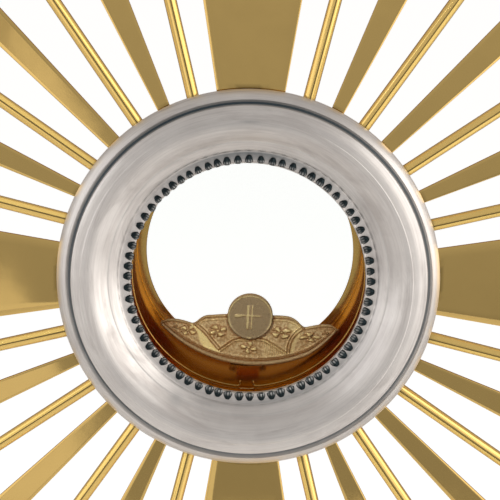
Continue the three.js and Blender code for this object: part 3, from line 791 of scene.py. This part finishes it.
def ray_recess(radius, side, flat):
    """A dark joint where the ray meets the case, and a painted dark reflection line along each rod."""
    joint = 0.9 * (1 - smoothstep(0.5, 0.9, abs(radius - RAY_ROOT - 0.1)))
    if flat:
        return joint
    # The painted dark reflection line along each rod.
    return max(joint, 0.95 * (1 - smoothstep(0.16, 0.33, abs(side - REFLECTION_LINE))))


def ray_shine(side, flat):
    """Painted highlight on the rods: palest on one side of their painted dark line, less on the other, none at their
    orange edges.
    """
    if flat:
        return 0.0
    half = ROD_WIDTH / 2
    pale = 0.62 - 0.34 * smoothstep(REFLECTION_LINE - 0.1, REFLECTION_LINE + 0.1, side)
    return pale * (1 - smoothstep(half - 0.65, half - 0.25, abs(side)))


def build_rays():
    chance = random.Random(5)
    stations = 36
    for name, root_angle, direction, tip, width, taper in ray_list():
        a, d = math.radians(root_angle), math.radians(direction)
        root = Vector((math.cos(a), math.sin(a))) * RAY_ROOT
        along = Vector((math.cos(d), math.sin(d)))
        across = Vector((-along.y, along.x))
        dot = root.dot(along)

        def reach(radius):
            return -dot + math.sqrt(dot * dot - RAY_ROOT ** 2 + radius ** 2)

        start, end = reach(RAY_INNER), reach(tip)
        roll = math.radians(ROLLS.get(name, chance.uniform(-0.35, 0.35)))
        phase, wave = chance.uniform(0, TAU), 0.02
        points, recess, shine = [], [], []
        for i in range(stations + 1):
            share = i / stations
            reached = start + (end - start) * share
            inset = 0 if 0 < i < stations else 0.25
            half = width / 2 + math.tan(math.radians(taper / 2)) * (RAY_ROOT + reached - RAY_WIDTH_AT)
            section = flat_section(half) if width else rod_section()
            for side, height in section:
                if height > SHEET * 0.5:
                    height -= inset
                swing = wave * math.sin(reached * 0.22 + phase)
                lifted = height + (side * math.tan(roll) if height > 0 else 0) + swing * (height > 0)
                place = root + along * reached + across * side
                points.append((place.x, RAY_BACK - max(lifted, 0.0), place.y))
                recess.append(ray_recess(place.length, side, bool(width)))
                shine.append(ray_shine(side, bool(width)))
        columns = len(section)
        faces = grid_faces(stations + 1, columns, False, True)
        faces.append(tuple(range(columns)))
        faces.append(tuple(range(stations * columns, (stations + 1) * columns)))
        label = name.replace("ray_", "sunray_")
        piece(label, points, faces, "ray_gold", [name], crease=24 if width else 50,
              recess=recess, shine=shine)


# ------------------------------------------------------------------ luna
LUNA_FRAME = {"tilt": math.radians(2.2), "z": -42.6}
LUNA_ARC = {"x": 0.9, "z": 52.3, "radius": 52.6}  # the circle of the crescent's lower edge
TIP_X = 35.9
DISC_X, DISC_Z, DISC_RADIUS = 0.0, 20.15, 9.15
LUNA_BACK, LUNA_FACE, DISC_FACE = 39.6, 37.6, 36.0
WALL_GAP = 0.7  # between the crescent's lower edge and the case wall


def curve(points, steps=8):
    return np.array(flowing(points, steps))


TOP_EDGE = curve([(-TIP_X, 15.9), (-33, 16.9), (-30, 17.1), (-27, 16.7), (-24.6, 16.1), (-23, 15.8), (-21.6, 16.5),
                  (-20, 18.0), (-17.8, 19.2), (-15, 19.6), (-11, 20.1), (-8, 20.3), (0, 20.4), (8, 20.6), (11, 20.8),
                  (15, 20.7), (17.2, 20.1), (19.2, 18.9), (20.7, 17.5), (22.2, 16.6), (24.2, 17.0), (27, 17.7),
                  (30, 18.2), (33, 18.0), (34.8, 17.0), (TIP_X, 15.6)])
LEFT_LEAF = curve([(-22.9, 16.1), (-20.2, 14.1), (-17.6, 11.8), (-15.2, 9.0), (-12.1, 5.6)])
RIGHT_LEAF = curve([(22.4, 16.7), (19.9, 14.8), (18.0, 12.4), (16.9, 9.4), (16.5, 5.8)])
ARCH = curve([(-12.6, 5.4), (-9.0, 8.3), (-5.8, 10.6), (0, 11.2), (5.8, 11.3), (10.2, 9.3), (15.2, 6.4)])


def luna_place(points):
    """From the crescent's own frame to the head's: it leans clockwise, seen from the front."""
    pts = np.asarray(points, float)
    c, s = math.cos(LUNA_FRAME["tilt"]), math.sin(LUNA_FRAME["tilt"])
    x, z = pts[:, 0], pts[:, 2]
    return np.stack([x * c + z * s, pts[:, 1], z * c - x * s + LUNA_FRAME["z"]], 1)


def luna_top(x):
    """The crescent's upper edge, with the disc's outline where it stands above."""
    edge = np.interp(x, TOP_EDGE[:, 0], TOP_EDGE[:, 1])
    inside = np.abs(x - DISC_X) < DISC_RADIUS
    disc = DISC_Z + np.sqrt(np.maximum(DISC_RADIUS ** 2 - (x - DISC_X) ** 2, 0))
    return np.where(inside, np.maximum(edge, disc), edge)


def luna_low(x):
    """The crescent's lower edge: its own arc, kept clear of the case wall."""
    arc = LUNA_ARC["z"] - np.sqrt(LUNA_ARC["radius"] ** 2 - (x - LUNA_ARC["x"]) ** 2)
    tilt, reach = LUNA_FRAME["tilt"], CASE_INNER - WALL_GAP
    centre_x, centre_z = LUNA_FRAME["z"] * math.sin(tilt), -LUNA_FRAME["z"] * math.cos(tilt)
    wall = centre_z - np.sqrt(reach ** 2 - (x - centre_x) ** 2)
    return np.maximum(arc, wall)


def distance_to(line, x, z):
    """Distances from points to a polyline. They are negative on its left side, seen along it."""
    best = np.full(x.shape, 1e9)
    side = np.zeros(x.shape)
    for (ax, az), (bx, bz) in zip(line, line[1:]):
        dx, dz = bx - ax, bz - az
        share = np.clip(((x - ax) * dx + (z - az) * dz) / (dx * dx + dz * dz), 0, 1)
        away = np.hypot(x - ax - share * dx, z - az - share * dz)
        closer = away < best
        best = np.where(closer, away, best)
        side = np.where(closer, np.sign((x - ax) * dz - (z - az) * dx), side)
    return best * side


def ridge(distance, width=0.38):
    return np.exp(-(distance / width) ** 2)


def ease(low, high, value):
    """Smoothstep for arrays."""
    t = np.clip((value - low) / (high - low), 0, 1)
    return t * t * (3 - 2 * t)


def flower(x, z, centre, size, turn, squash):
    """The height of a small four-petalled flower, from 0 to 1."""
    dx, dz = x - centre[0] + 0.22 * np.sin(2.1 * z + x), (z - centre[1] + 0.18 * np.sin(1.9 * x - z)) / squash
    reach, around = np.hypot(dx, dz) / size, np.arctan2(dz, dx) - math.radians(turn)
    leaf = np.abs(np.cos(2 * around)) ** 1.6
    body = leaf * ease(1.05, 0.75, reach) * ease(0.12, 0.35, reach)
    return np.maximum(body, ridge(reach, 0.17))


def luna_relief(x, z):
    """Over arrays of points: the relief's height over its ground, then recess, painted highlight and plain."""
    up = z - luna_low(x)
    down = luna_top(x) - z
    near_tip = ease(0, 7, TIP_X - np.abs(x))
    left, right, arch = distance_to(LEFT_LEAF, x, z), distance_to(RIGHT_LEAF, x, z), distance_to(ARCH, x, z)
    in_left, in_right = (left > 0) & (x < -10), (right < 0) & (x > 10)
    in_arch = (arch > 0) & ~in_left & ~in_right
    ground = ease(3.1, 3.7, up / (0.35 + 0.65 * near_tip))

    rim_up = (up - 0.95) / 0.95
    rim = np.sqrt(np.clip(1 - rim_up ** 2, 0, 1))
    band = ease(2.0, 2.5, up) * (1 - ground)
    height = 0.95 * rim + 0.30 * band
    height += 0.35 * ridge(up - 3.4, 0.3) * near_tip

    lines = ridge(np.abs(left), 0.32) + 0.8 * ridge(np.abs(left + 1.25), 0.26) * ~in_left
    lines = np.maximum(lines, ridge(np.abs(right), 0.32) + 0.8 * ridge(np.abs(right - 1.2), 0.26) * ~in_right)
    above = ~in_left & ~in_right
    lines = np.maximum(lines, (ridge(np.abs(arch), 0.32) + 0.8 * ridge(np.abs(arch - 1.1), 0.26)) * above)
    between = ease(0.1, 0.5, -left) * ease(1.5, 1.1, -left) * ~in_left
    between = np.maximum(between, ease(0.1, 0.5, right) * ease(1.5, 1.1, right) * ~in_right)
    between = np.maximum(between, ease(0.1, 0.5, arch) * ease(1.3, 0.9, arch) * above)
    lines = np.maximum(lines, 0.9 * ridge(down - 0.5, 0.3))
    lines = np.maximum(lines, 0.5 * ridge(down - 1.7, 0.25) * above * ~in_arch)
    height += ground * 0.5 * np.minimum(lines, 1)

    between_left, between_right = ~in_left & ~in_arch, ~in_right & ~in_arch
    motifs = np.zeros(x.shape)
    for centre, size, turn, squash, where, strength in (
            ((-24.7, 13.2), 3.6, -32, 0.62, in_left, 1),
            ((-12.7, 13.6), 4.0, 28, 0.7, between_left, 1),
            ((12.9, 14.2), 4.4, 36, 0.6, between_right, 1),
            ((24.6, 13.0), 4.6, 10, 0.45, in_right, 1),
            ((0.1, 7.3), 3.4, 75, 0.75, in_arch, 1),
            ((-29.8, 14.2), 1.5, 0, 0.6, in_left, 0.7),
            ((30.8, 14.9), 1.7, 30, 0.6, in_right, 0.7)):
        motifs = np.maximum(motifs, flower(x, z, centre, size, turn, squash) * where * strength)
    # Painted shade round the raised motifs.
    around = ease(0.005, 0.12, motifs) * (1 - ease(0.3, 0.7, motifs))
    height += ground * 0.95 * motifs
    hatch = (0.5 + 0.5 * np.cos(TAU * x / 0.85)) * ease(5.2, 6.8, x) * in_arch
    height += ground * 0.16 * hatch
    ring = ridge(np.hypot(x - 2.2, z - 5.8) - 0.9, 0.3) * in_arch
    height += ground * 0.3 * ring
    hole = 1 - ease(0.35, 0.75, np.hypot(x + 14.4, z - 10.4))

    recess = (0.85 * np.minimum(lines, 1) + 0.45 * between * (lines < 0.5)) * ground
    recess = recess + 0.55 * band * near_tip + 0.6 * around * ground
    recess += 0.9 * ridge(up - 2.05, 0.22) + 0.25 * (1 - near_tip)
    recess += 0.8 * (1 - ease(-0.1, 1.7, up)) + 2 * hole
    # Painted highlights: pale patches by the leaves, the raised motifs, the hatch, the ridges' flanks and a spot at the
    # upper right.
    swell = 0.7 + 2.7 * ease(14.8, 8.0, z)
    patch = ease(0.35, 0.7, left) * (1 - ease(swell, swell + 0.6, left)) * in_left * ease(16.2, 15.2, z)
    patch = np.maximum(patch, 0.45 * ease(-0.3, -0.7, right) * ease(-2.4, -1.4, right) * in_right * ease(15, 13, z))
    shine = patch * ground + 0.75 * ease(0.55, 0.95, motifs) * ground + 0.35 * hatch * ground
    shine += 0.5 * (lines > 0.15) * (lines < 0.45) * ground
    shine += 0.35 * (1 - ease(2.2, 3.6, np.hypot(x - 18.4, z - 16.8))) * ~in_right * ground

    disc = np.hypot(x - DISC_X, z - DISC_Z)
    inside = disc < DISC_RADIUS
    shadow = ridge(disc - DISC_RADIUS - 0.45, 0.42) * (z < DISC_Z + 3) * ~inside
    recess += 0.8 * shadow
    stroke = np.maximum(1 - ease(0.38, 0.6, np.abs(x + 0.85)), 1 - ease(0.2, 0.42, np.abs(x - 0.65)))
    post = stroke * (1 - ease(4.75, 5.1, np.abs(z - 20.1)))
    bar = (1 - ease(0.16, 0.4, np.abs(z - 20.75))) * (1 - ease(4.1, 5.9, np.abs(x + 0.6)))
    flare = (1 - ease(0.5, 1.0, np.abs(z - 20.5) + 0.25 * np.abs(x + 5.2))) * (x > -6.2) * (x < -2.2)
    cross = np.maximum(np.maximum(post, bar), flare)
    edge = ridge(disc - DISC_RADIUS + 0.45, 0.3)
    plate = LUNA_FACE - DISC_FACE - 0.4 + 0.3 * edge + 0.3 * cross
    height = np.where(inside, plate, height)
    recess = np.where(inside, 0.3 * ease(0.1, 0.4, cross) * (1 - ease(0.5, 0.9, cross)), recess)
    lit = 0.5 * edge * (np.abs(z - DISC_Z - 0.6 * np.abs(x)) < 9)
    shine = np.where(inside, np.maximum(0.45 * ease(0.5, 0.95, cross), lit), shine)
    plain = np.where(inside, 1, 0.5 * (1 - ease(1.7, 2.1, up)))
    return height, np.clip(recess, 0, 1), np.clip(shine, 0, 1), plain


def build_luna():
    columns, rows = 380, 110
    edge_drop = 0.35
    share = 2 * np.arange(columns) / (columns - 1) - 1
    across = TIP_X * (0.4 * np.sin(math.pi / 2 * share) + 0.6 * share)
    low, high = luna_low(across), luna_top(across)
    thin = np.maximum(0.6 - (high - low), 0) / 2
    low, high = low - thin, high + thin
    x = np.repeat(across[:, None], rows, 1)
    z = low[:, None] + (high - low)[:, None] * np.arange(rows)[None] / (rows - 1)
    height, *finish = luna_relief(x, z)
    height[:, [0, -1]] = np.maximum(height[:, [0, -1]] - edge_drop, 0)
    front = np.stack([x, LUNA_FACE - height, z], -1).reshape(-1, 3)
    back = front.copy()
    back[:, 1] = LUNA_BACK
    points = np.concatenate([front, back])
    count = columns * rows
    faces = grid_faces(columns, rows)
    faces += [tuple(i + count for i in reversed(f)) for f in grid_faces(columns, rows)]
    border = [i * rows for i in range(columns)] + [count - rows + j for j in range(1, rows)]
    border += [i * rows + rows - 1 for i in reversed(range(columns - 1))] + list(range(rows - 2, 0, -1))
    faces += [(a, b, b + count, a + count) for a, b in zip(border, border[1:] + border[:1])]
    recess, shine, plain = (np.concatenate([values.ravel(), np.full(count, rest)])
                            for values, rest in zip(finish, (0.2, 0, 0)))
    piece("luna_crescent", luna_place(points), faces, "luna_gold", ["luna_front"], "luna_carriage",
          recess=recess, crease=55, shine=shine, plain=plain)


# ------------------------------------------------------------------ rear door
def build_door():
    low, high = head_box("door_bezel")
    front, back, lip, pocket, opening, outer = 58.8, high.y, 60.2, 45.4, 42.6, 50.5
    outline = [
        (opening, front), (outer - 0.5, front), (outer, front + 0.5), (outer, front + 2.2), (outer - 0.5, front + 2.7),
        (outer, front + 3.2), (outer, back - 1.4), (outer - 0.35, back - 0.5), (outer - 1.3, back), (48.6, back),
        (48.2, back - 0.35), (47.6, back - 0.35), (47.2, back), (pocket, back), (pocket, lip), (opening, lip),
    ]
    points, faces = turned(rounded(outline, 0.22, 3), 192)
    hinge_x, hinge_y, knuckle, bore, half = 55.0, 61.6, 2.7, 1.4, 5.7
    barrel = [(bore, -half), (knuckle - 0.4, -half), (knuckle, -half + 0.4), (knuckle, half - 0.4),
              (knuckle - 0.4, half), (bore, half)]
    ring, ring_faces = turned(rounded(barrel, 0.15, 2), 40, "Z", None, (hinge_x, hinge_y, 0))
    piece("door_frame", points, faces, "case_gold", ["door_bezel"], "door")
    piece("door_knuckle", ring, ring_faces, "bright_gold", (), "door")
    lug = prism([(outer - 0.4, hinge_y - 1.3), (hinge_x - 2.3, hinge_y - 1.3), (hinge_x - 2.3, hinge_y + 1.3),
                 (outer - 0.4, hinge_y + 1.3)], -half + 0.2, half - 0.2)
    piece("door_lug", *lug, "bright_gold", (), "door")

    ring_low, ring_high = head_box("door_glass_ring")
    outline = [(43.2, ring_low.y), (45.1, ring_low.y), (45.1, ring_high.y), (44.2, ring_high.y),
               (43.2, ring_high.y - 0.3)]
    points, faces = turned(rounded(outline, 0.2, 3), 192)
    piece("door_glass_keeper", points, faces, "case_gold", ["door_glass_ring"], "door")

    base = head_box("door_knob")
    centre = ((base[0].x + base[1].x) / 2, base[0].y, 0)
    profile = [(0, 0), (2.3, 0), (2.3, 0.8), (1.25, 1.6), (1.2, 2.4), (1.2, 3.2), (2.2, 4.1), (2.75, 5.2),
               (2.75, 6.0), (2.0, 6.85), (0.9, 7.15), (0, 7.2)]
    points, faces = turned(rounded(profile, 0.2, 2, False), 48, "Y", None, centre)
    piece("door_pull", points, faces, "bright_gold", ["door_knob"], "door")


def prism(outline, low, high, bevel=0.25):
    """A bevelled block from an outline in the head's x-y plane, between two heights."""
    smooth = rounded(outline, bevel, 2)
    inset = rounded([tuple(Vector(p).lerp(Vector(centre_of(outline)), 0.06)) for p in outline], bevel, 2)
    layers = [(inset, low), (smooth, low + bevel), (smooth, high - bevel), (inset, high)]
    count = len(smooth)
    points = [(x, y, z) for ring, z in layers for x, y in ring]
    faces = grid_faces(len(layers), count, False, True)
    faces.append(tuple(range(count)))
    faces.append(tuple(range(3 * count, 4 * count)))
    return points, faces


def centre_of(outline):
    return tuple(sum(p[i] for p in outline) / len(outline) for i in range(2))


# ------------------------------------------------------------------ stem and foot
def bead_band(radius, height, count, size):
    """A ring of small round beads about the stem, each a little sunk into its band."""
    parts = []
    rings, around = 8, 10
    for i in range(count):
        angle = TAU * i / count
        centre = Vector((radius * math.cos(angle), radius * math.sin(angle), height))
        points = []
        for a in range(rings + 1):
            lift = math.pi * a / rings
            for b in range(around):
                turn = TAU * b / around
                points.append(centre + Vector((math.sin(lift) * math.cos(turn), math.sin(lift) * math.sin(turn),
                                               math.cos(lift))) * size)
        parts.append((np.array([tuple(p) for p in points]), grid_faces(rings + 1, around, False, True)))
    return join(parts)[:2]


def upright(name, outline, material, replaces, segments=144, shape=None, recess=None, corner=0.35):
    points, faces = turned(rounded(outline, corner, 3), segments, "Z", shape)
    shade = None if recess is None else [recess(math.hypot(p[0], p[1]), p[2]) for p in points]
    return piece(name, points, faces, material, replaces, origin=FLOOR_ORIGIN, recess=shade)


def lobed(count, depth, low, high, sharp=1.0):
    """Presses a ring of lobes into a turned shape between two heights."""
    def shape(radius, height, angle):
        if not low < height < high or radius < 5:
            return radius, height
        margin = 0.22 * (high - low)
        fade = smoothstep(low, low + margin, height) * (1 - smoothstep(high - margin, high, height))
        wave = abs(math.sin(angle * count / 2)) ** sharp
        return radius - depth * fade * (1 - wave), height
    return shape


def build_stem():
    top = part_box("stem_upper")[1].z / MM
    bore = 3.6
    upper_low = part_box("stem_upper")[0].z / MM
    upright("stem_neck", [
        (bore, upper_low), (12.5, upper_low), (12.5, upper_low + 1.2), (11.7, upper_low + 1.7),
        (11.7, upper_low + 2.3), (12.2, upper_low + 2.8), (9.6, upper_low + 5.2),
        *flowing([(8.9, upper_low + 6.6), (8.0, upper_low + 12), (7.2, upper_low + 40), (6.8, top - 16)], 8),
        (6.8, top - 15.4), (8.1, top - 15.0), (8.5, top - 14.2), (8.1, top - 13.4), (6.9, top - 13.0),
        *flowing([(6.9, top - 12.5), (7.3, top - 8), (9.8, top - 4)], 5), (10, top - 3.4), (10, top), (bore, top),
    ], "turned_gold", ["stem_upper"])

    low, high = (c.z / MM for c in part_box("knop"))
    centre, half, radius = (low + high) / 2, (high - low) / 2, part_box("knop")[1].x / MM
    waist = 10
    ball = []
    steps = 40
    for i in range(steps + 1):
        turn = -math.pi / 2 + math.pi * i / steps
        ball.append((waist + (radius - waist) * math.cos(turn) ** 0.92, centre + half * math.sin(turn)))
    band = 3.2
    ball = [(r, z) for r, z in ball if abs(z - centre) > band + 0.4]
    split = next(i for i, (_, z) in enumerate(ball) if z > centre)
    girdle = [(radius - 1.0, centre - band), (radius - 1.5, centre - band + 0.5), (radius - 1.5, centre + band - 0.5),
              (radius - 1.0, centre + band)]
    outline = [(bore, low), *ball[:split], *girdle, *ball[split:], (bore, high)]
    lobes_low = lobed(16, 1.1, low + 1.5, centre - band - 0.5, 0.7)
    lobes_high = lobed(16, 1.1, centre + band + 0.5, high - 1.5, 0.7)

    def gadroons(r, z, angle):
        return lobes_high(*lobes_low(r, z, angle), angle) if r > waist + 1 else (r, z)

    upright("knop_ball", outline, "satin_silver_upright", ["knop"], 256, gadroons,
            lambda r, z: 0.9 if abs(z - centre) < band and r < radius - 1.2 else 0.0)
    beads = bead_band(radius - 1.75, centre, 44, 1.5)
    piece("knop_beads", *beads, "oxidised_silver", origin=FLOOR_ORIGIN)

    lower_low, lower_high = (c.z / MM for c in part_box("stem_lower"))
    span = lower_high - lower_low
    baluster = []
    for i in range(25):
        t = i / 24
        baluster.append((7 + 11 * (1 - t) ** 2.2 + 2.4 * math.sin(math.pi * t) ** 2,
                         lower_low + 6 + (span - 16) * t))
    upright("stem_baluster", [
        (bore, lower_low), (21, lower_low), (21, lower_low + 1.4), (20.2, lower_low + 1.9), (20.2, lower_low + 2.5),
        (19.6, lower_low + 3.2), (18.4, lower_low + 3.6), (18.2, lower_low + 4.6), *baluster,
        (7.2, lower_high - 9.2), (8.6, lower_high - 8.6), (8.9, lower_high - 7.9), (8.4, lower_high - 7.2),
        (7.8, lower_high - 6.6), (12.0, lower_high - 3.8), (12.5, lower_high - 3.2), (12.5, lower_high),
        (bore, lower_high),
    ], "turned_gold", ["stem_lower"], 160)


def build_foot():
    low, high = (c.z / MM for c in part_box("foot_shell"))
    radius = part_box("foot_shell")[1].x / MM
    step, inner, shell = 14.0, 74.0, 2.0
    bell, inside = [], []
    slices = 28
    for i in range(slices + 1):
        turn = math.pi / 2 * i / slices
        bell.append((inner - 52 * math.sin(turn), step + 4 + (high - step - 6) * (1 - math.cos(turn))))
        inside.append((inner - shell - 51 * math.sin(turn), step + 1 + (high - step - 6) * (1 - math.cos(turn))))
    outline = [
        (radius, low), (radius, 5.0), (radius - 0.6, 5.5), (radius - 0.6, 6.3), (radius, 6.8), (radius, 10.0),
        (radius - 0.3, 11.6), (radius - 1.0, 13.0), (radius - 2.4, step), (inner, step), *bell,
        (22, high), (3.6, high), (3.6, high - 5), *reversed(inside), (inner - shell, step - shell),
        (radius - 4, step - shell), (radius - shell, 9), (radius - shell, low),
    ]
    lobes = 24

    def gadroons(r, z, angle):
        """Rounded lobes run up the bell, and fade out at its foot and neck."""
        if z < step + 5 or r < 24 or z > high - 1:
            return r, z
        fade = smoothstep(step + 5, step + 14, z) * (1 - smoothstep(high - 12, high - 2.5, z))
        wave = abs(math.sin(angle * lobes / 2)) ** 0.7
        return r - 1.3 * fade * (1 - wave), z

    upright("foot_bell", outline, "turned_gold", ["foot_shell"], 288, gadroons)

    ring_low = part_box("foot_ring")[0].z / MM
    ring = [
        (inner + 1, ring_low), (radius - 3.4, ring_low), (radius - 3.4, ring_low + 1), (radius - 4.2, ring_low + 2.2),
        (radius - 5, ring_low + 3), (radius - 6.2, ring_low + 3.4), (radius - 6.4, ring_low + 2.9),
        (inner + 5.2, ring_low + 2.9), (inner + 5.0, ring_low + 3.6), (inner + 3, ring_low + 3.6),
        (inner + 1.6, ring_low + 2.6), (inner + 1, ring_low + 1.6),
    ]
    upright("foot_band", ring, "satin_silver_upright", ["foot_ring"], 192, None,
            lambda r, z: 0.9 if inner + 5.1 < r < radius - 6.3 and z > ring_low + 2 else 0.0, 0.25)
    row = bead_band((inner + 5.1 + radius - 6.3) / 2, ring_low + 3.0, 180, 1.15)
    piece("foot_beads", *row, "oxidised_silver", origin=FLOOR_ORIGIN)


# ------------------------------------------------------------------ CAD pieces that stay as they are
KEPT = {
    "case_saddle": "turned_gold", "hinge_bracket": "bright_gold", "hinge_pin": "bright_gold",
    "door_clip": "bright_gold", "luna_rail": "hidden_gold", "luna_shoe": "hidden_gold", "luna_pin": "hidden_gold",
    "luna_leaf": "luna_gold", "foot_ballast": "cast_iron", "felt_pad": "green_felt", "tie_rod": "steel",
    "tie_nut": "steel",
}


def finish_kept_nodes():
    """Gives the carried-over CAD nodes their finish, fine bevels and smooth shading."""
    for name, material in KEPT.items():
        made = NODES[name]
        made.data.materials.clear()
        made.data.materials.append(MATERIALS[material])
        made.data.shade_smooth()
        made.data.set_sharp_from_angle(angle=math.radians(28))
        bevel = made.modifiers.new("edges", "BEVEL")
        bevel.width = 0.12 * MM
        bevel.segments = 2
        bevel.limit_method = "ANGLE"
        bevel.angle_limit = math.radians(35)


# ------------------------------------------------------------------ studio
def emitter_card(name, centre, across, up, size, strength_nodes):
    """A card that only mirrors show, as a photographer's reflector card outside the view."""
    mesh = bpy.data.meshes.new(name)
    across, up = Vector(across).normalized() * size[0] / 2, Vector(up).normalized() * size[1] / 2
    mesh.from_pydata([tuple(-across - up), tuple(across - up), tuple(across + up), tuple(-across + up)], [],
                     [(0, 1, 2, 3)])
    material = bpy.data.materials.new(name)
    tree, surface = empty_tree(material)
    glow = tree.nodes.new("ShaderNodeEmission")
    tree.links.new(glow.outputs[0], surface)
    strength_nodes(tree, glow)
    mesh.materials.append(material)
    made = placed(name, mesh, centre)
    made.visible_camera = False
    made.visible_diffuse = False
    made.visible_shadow = False
    made.visible_transmission = False
    return made


def area_light(name, place, size, power, tint=(1, 1, 1), aim=HEAD):
    data = bpy.data.lights.new(name, "AREA")
    data.shape = "RECTANGLE"
    data.size, data.size_y = size
    data.energy = power
    data.color = tint
    made = placed(name, data, place)
    made.rotation_euler = (Vector(aim) - Vector(place)).to_track_quat("-Z", "Y").to_euler()
    made.visible_camera = False
    return made


def build_floor():
    """A plain white floor that stays pale in the view."""
    mesh = bpy.data.meshes.new("floor")
    reach = 14
    steps = 64
    mesh.from_pydata([(reach * math.cos(TAU * i / steps), reach * math.sin(TAU * i / steps), -0.0002)
                      for i in range(steps)], [], [tuple(range(steps))])
    material = bpy.data.materials.new("floor")
    tree, surface = empty_tree(material)
    paper = node(tree, "BsdfDiffuse", rgb(0.80, 0.795, 0.785))
    seen = node(tree, "LightPath").node
    level = math_node(tree, "ADD", math_node(tree, "MULTIPLY", seen.outputs["Is Camera Ray"], 0.66),
                      math_node(tree, "MULTIPLY", seen.outputs["Is Glossy Ray"], 0.05))
    glow = node(tree, "Emission", rgb(1, 1, 1), level)
    put(tree, node(tree, "AddShader", paper, glow), surface)
    mesh.materials.append(material)
    placed("floor", mesh)


def build_world():
    world = bpy.data.worlds.new("studio")
    bpy.context.scene.world = world
    tree, surface = empty_tree(world, "ShaderNodeOutputWorld")
    room = node(tree, "Background", rgb(0.43, 0.42, 0.41), 1.0)
    white = node(tree, "Background", rgb(1, 1, 1), 1.0)
    put(tree, mixed_shader(tree, node(tree, "LightPath"), room, white), surface)


def front_card(tree, glow):
    """Grey, paler towards the top, with a bright white card leaning across its left end."""
    split = node(tree, "SeparateXYZ", object_coordinates(tree)).node
    x, y = split.outputs[0], split.outputs[2]
    shade = spread(tree, y, -0.30, 0.30, 0.27, 0.42)
    lean = math_node(tree, "ADD", x, math_node(tree, "MULTIPLY", y, 0.565))
    waver = noise_of(tree, object_coordinates(tree), 60, 3, 0.7)
    lean = math_node(tree, "ADD", lean, spread(tree, waver, 0.3, 0.7, -0.012, 0.012))
    bright = spread(tree, lean, CARD_EDGE, CARD_EDGE - 0.004, 0.0, 1.0)
    put(tree, colour_mix(tree, bright, shade, rgb(0.66, 0.65, 0.64)), glow.inputs["Color"])
    glow.inputs["Strength"].default_value = 1.0


CARD_Y, CARD_MIDDLE = -1.0, 0.33
CARD_EDGE = -0.107 - 0.565 * CARD_MIDDLE


def plain_card(colour, strength):
    def nodes(tree, glow):
        glow.inputs["Color"].default_value = rgb(*colour)
        glow.inputs["Strength"].default_value = strength
    return nodes


def build_studio():
    build_world()
    build_floor()
    emitter_card("card_front", (0, CARD_Y, CARD_MIDDLE), (1, 0, 0), (0, 0, 1), (0.66, 0.64), front_card)
    dark = plain_card((0.22, 0.13, 0.07), 1.0)
    emitter_card("card_back", (0, 0.62, 0.50), (1, 0, 0), (0, 0, 1), (1.1, 0.95), dark)
    for name, x, strength in (("card_right", 0.72, 1.12), ("card_left", -0.72, 0.92)):
        side = plain_card((0.98, 0.95, 0.92), strength)
        emitter_card(name, (x, CARD_Y, 0.22), (1, 0, 0), (0, 0, 1), (0.72, 0.75), side)
    low_card = plain_card((1.0, 0.97, 0.94), 1.0)
    emitter_card("card_low", (0.62, -0.42, 0.012), (1, 0, 0), (0, 1, 0), (0.5, 0.6), low_card)
    relief = HEAD + Vector((0, 0.04, -0.03))
    lamp = area_light("lamp_relief", (-0.22, -0.42, 0.74), (0.16, 0.16), 1.95, (1.0, 0.97, 0.93), relief)
    lamp.visible_glossy = False
    area_light("softbox_right", (1.25, -0.75, 0.72), (1.5, 1.3), 9.0, (1.0, 0.97, 0.93))
    area_light("softbox_left", (-1.35, -0.75, 0.75), (1.2, 1.2), 3.0, (0.97, 0.98, 1.0))


# The camera looks at the moulding's middle from a little above. Its aim passes just below and beside that middle,
# by these tangents.
CAMERA = {"distance": 0.700, "elevation": 12.75, "azimuth": 0.59, "roll": 0.9, "lens": 132.29, "sensor": 36.0}
AIM_RIGHT, AIM_UP = 0.00117, 0.0178


def build_camera():
    data = bpy.data.cameras.new("camera")
    data.sensor_width = CAMERA["sensor"]
    data.lens = CAMERA["lens"]
    data.clip_start, data.clip_end = 0.05, 60
    camera = bpy.data.objects.new("camera", data)
    bpy.context.scene.collection.objects.link(camera)
    up, turn = math.radians(CAMERA["elevation"]), math.radians(CAMERA["azimuth"])
    away = Vector((math.sin(turn) * math.cos(up), -math.cos(turn) * math.cos(up), math.sin(up)))
    place = HEAD + away * CAMERA["distance"]
    right = (-away).cross(Vector((0, 0, 1))).normalized()
    above = right.cross(-away).normalized()
    basis = Matrix((right, above, away)).transposed()
    basis = basis @ Matrix.Rotation(math.radians(CAMERA["roll"]), 3, "Z")
    aim = basis @ Vector((AIM_RIGHT, AIM_UP, -1)).normalized()
    spin = (-away).rotation_difference(aim).to_matrix()
    camera.matrix_world = Matrix.Translation(place) @ (spin @ basis).to_4x4()
    bpy.context.scene.camera = camera


bpy.context.scene.view_settings.view_transform = "Standard"
build_moulding()
build_beads()
build_case()
pane("pane_front", "front_glass", 45.9, "stand")
pane("pane_rear", "door_glass", 45.1, "door")
build_spring_ring()
build_rays()
build_luna()
build_door()
build_stem()
build_foot()
finish_kept_nodes()
build_studio()
build_camera()
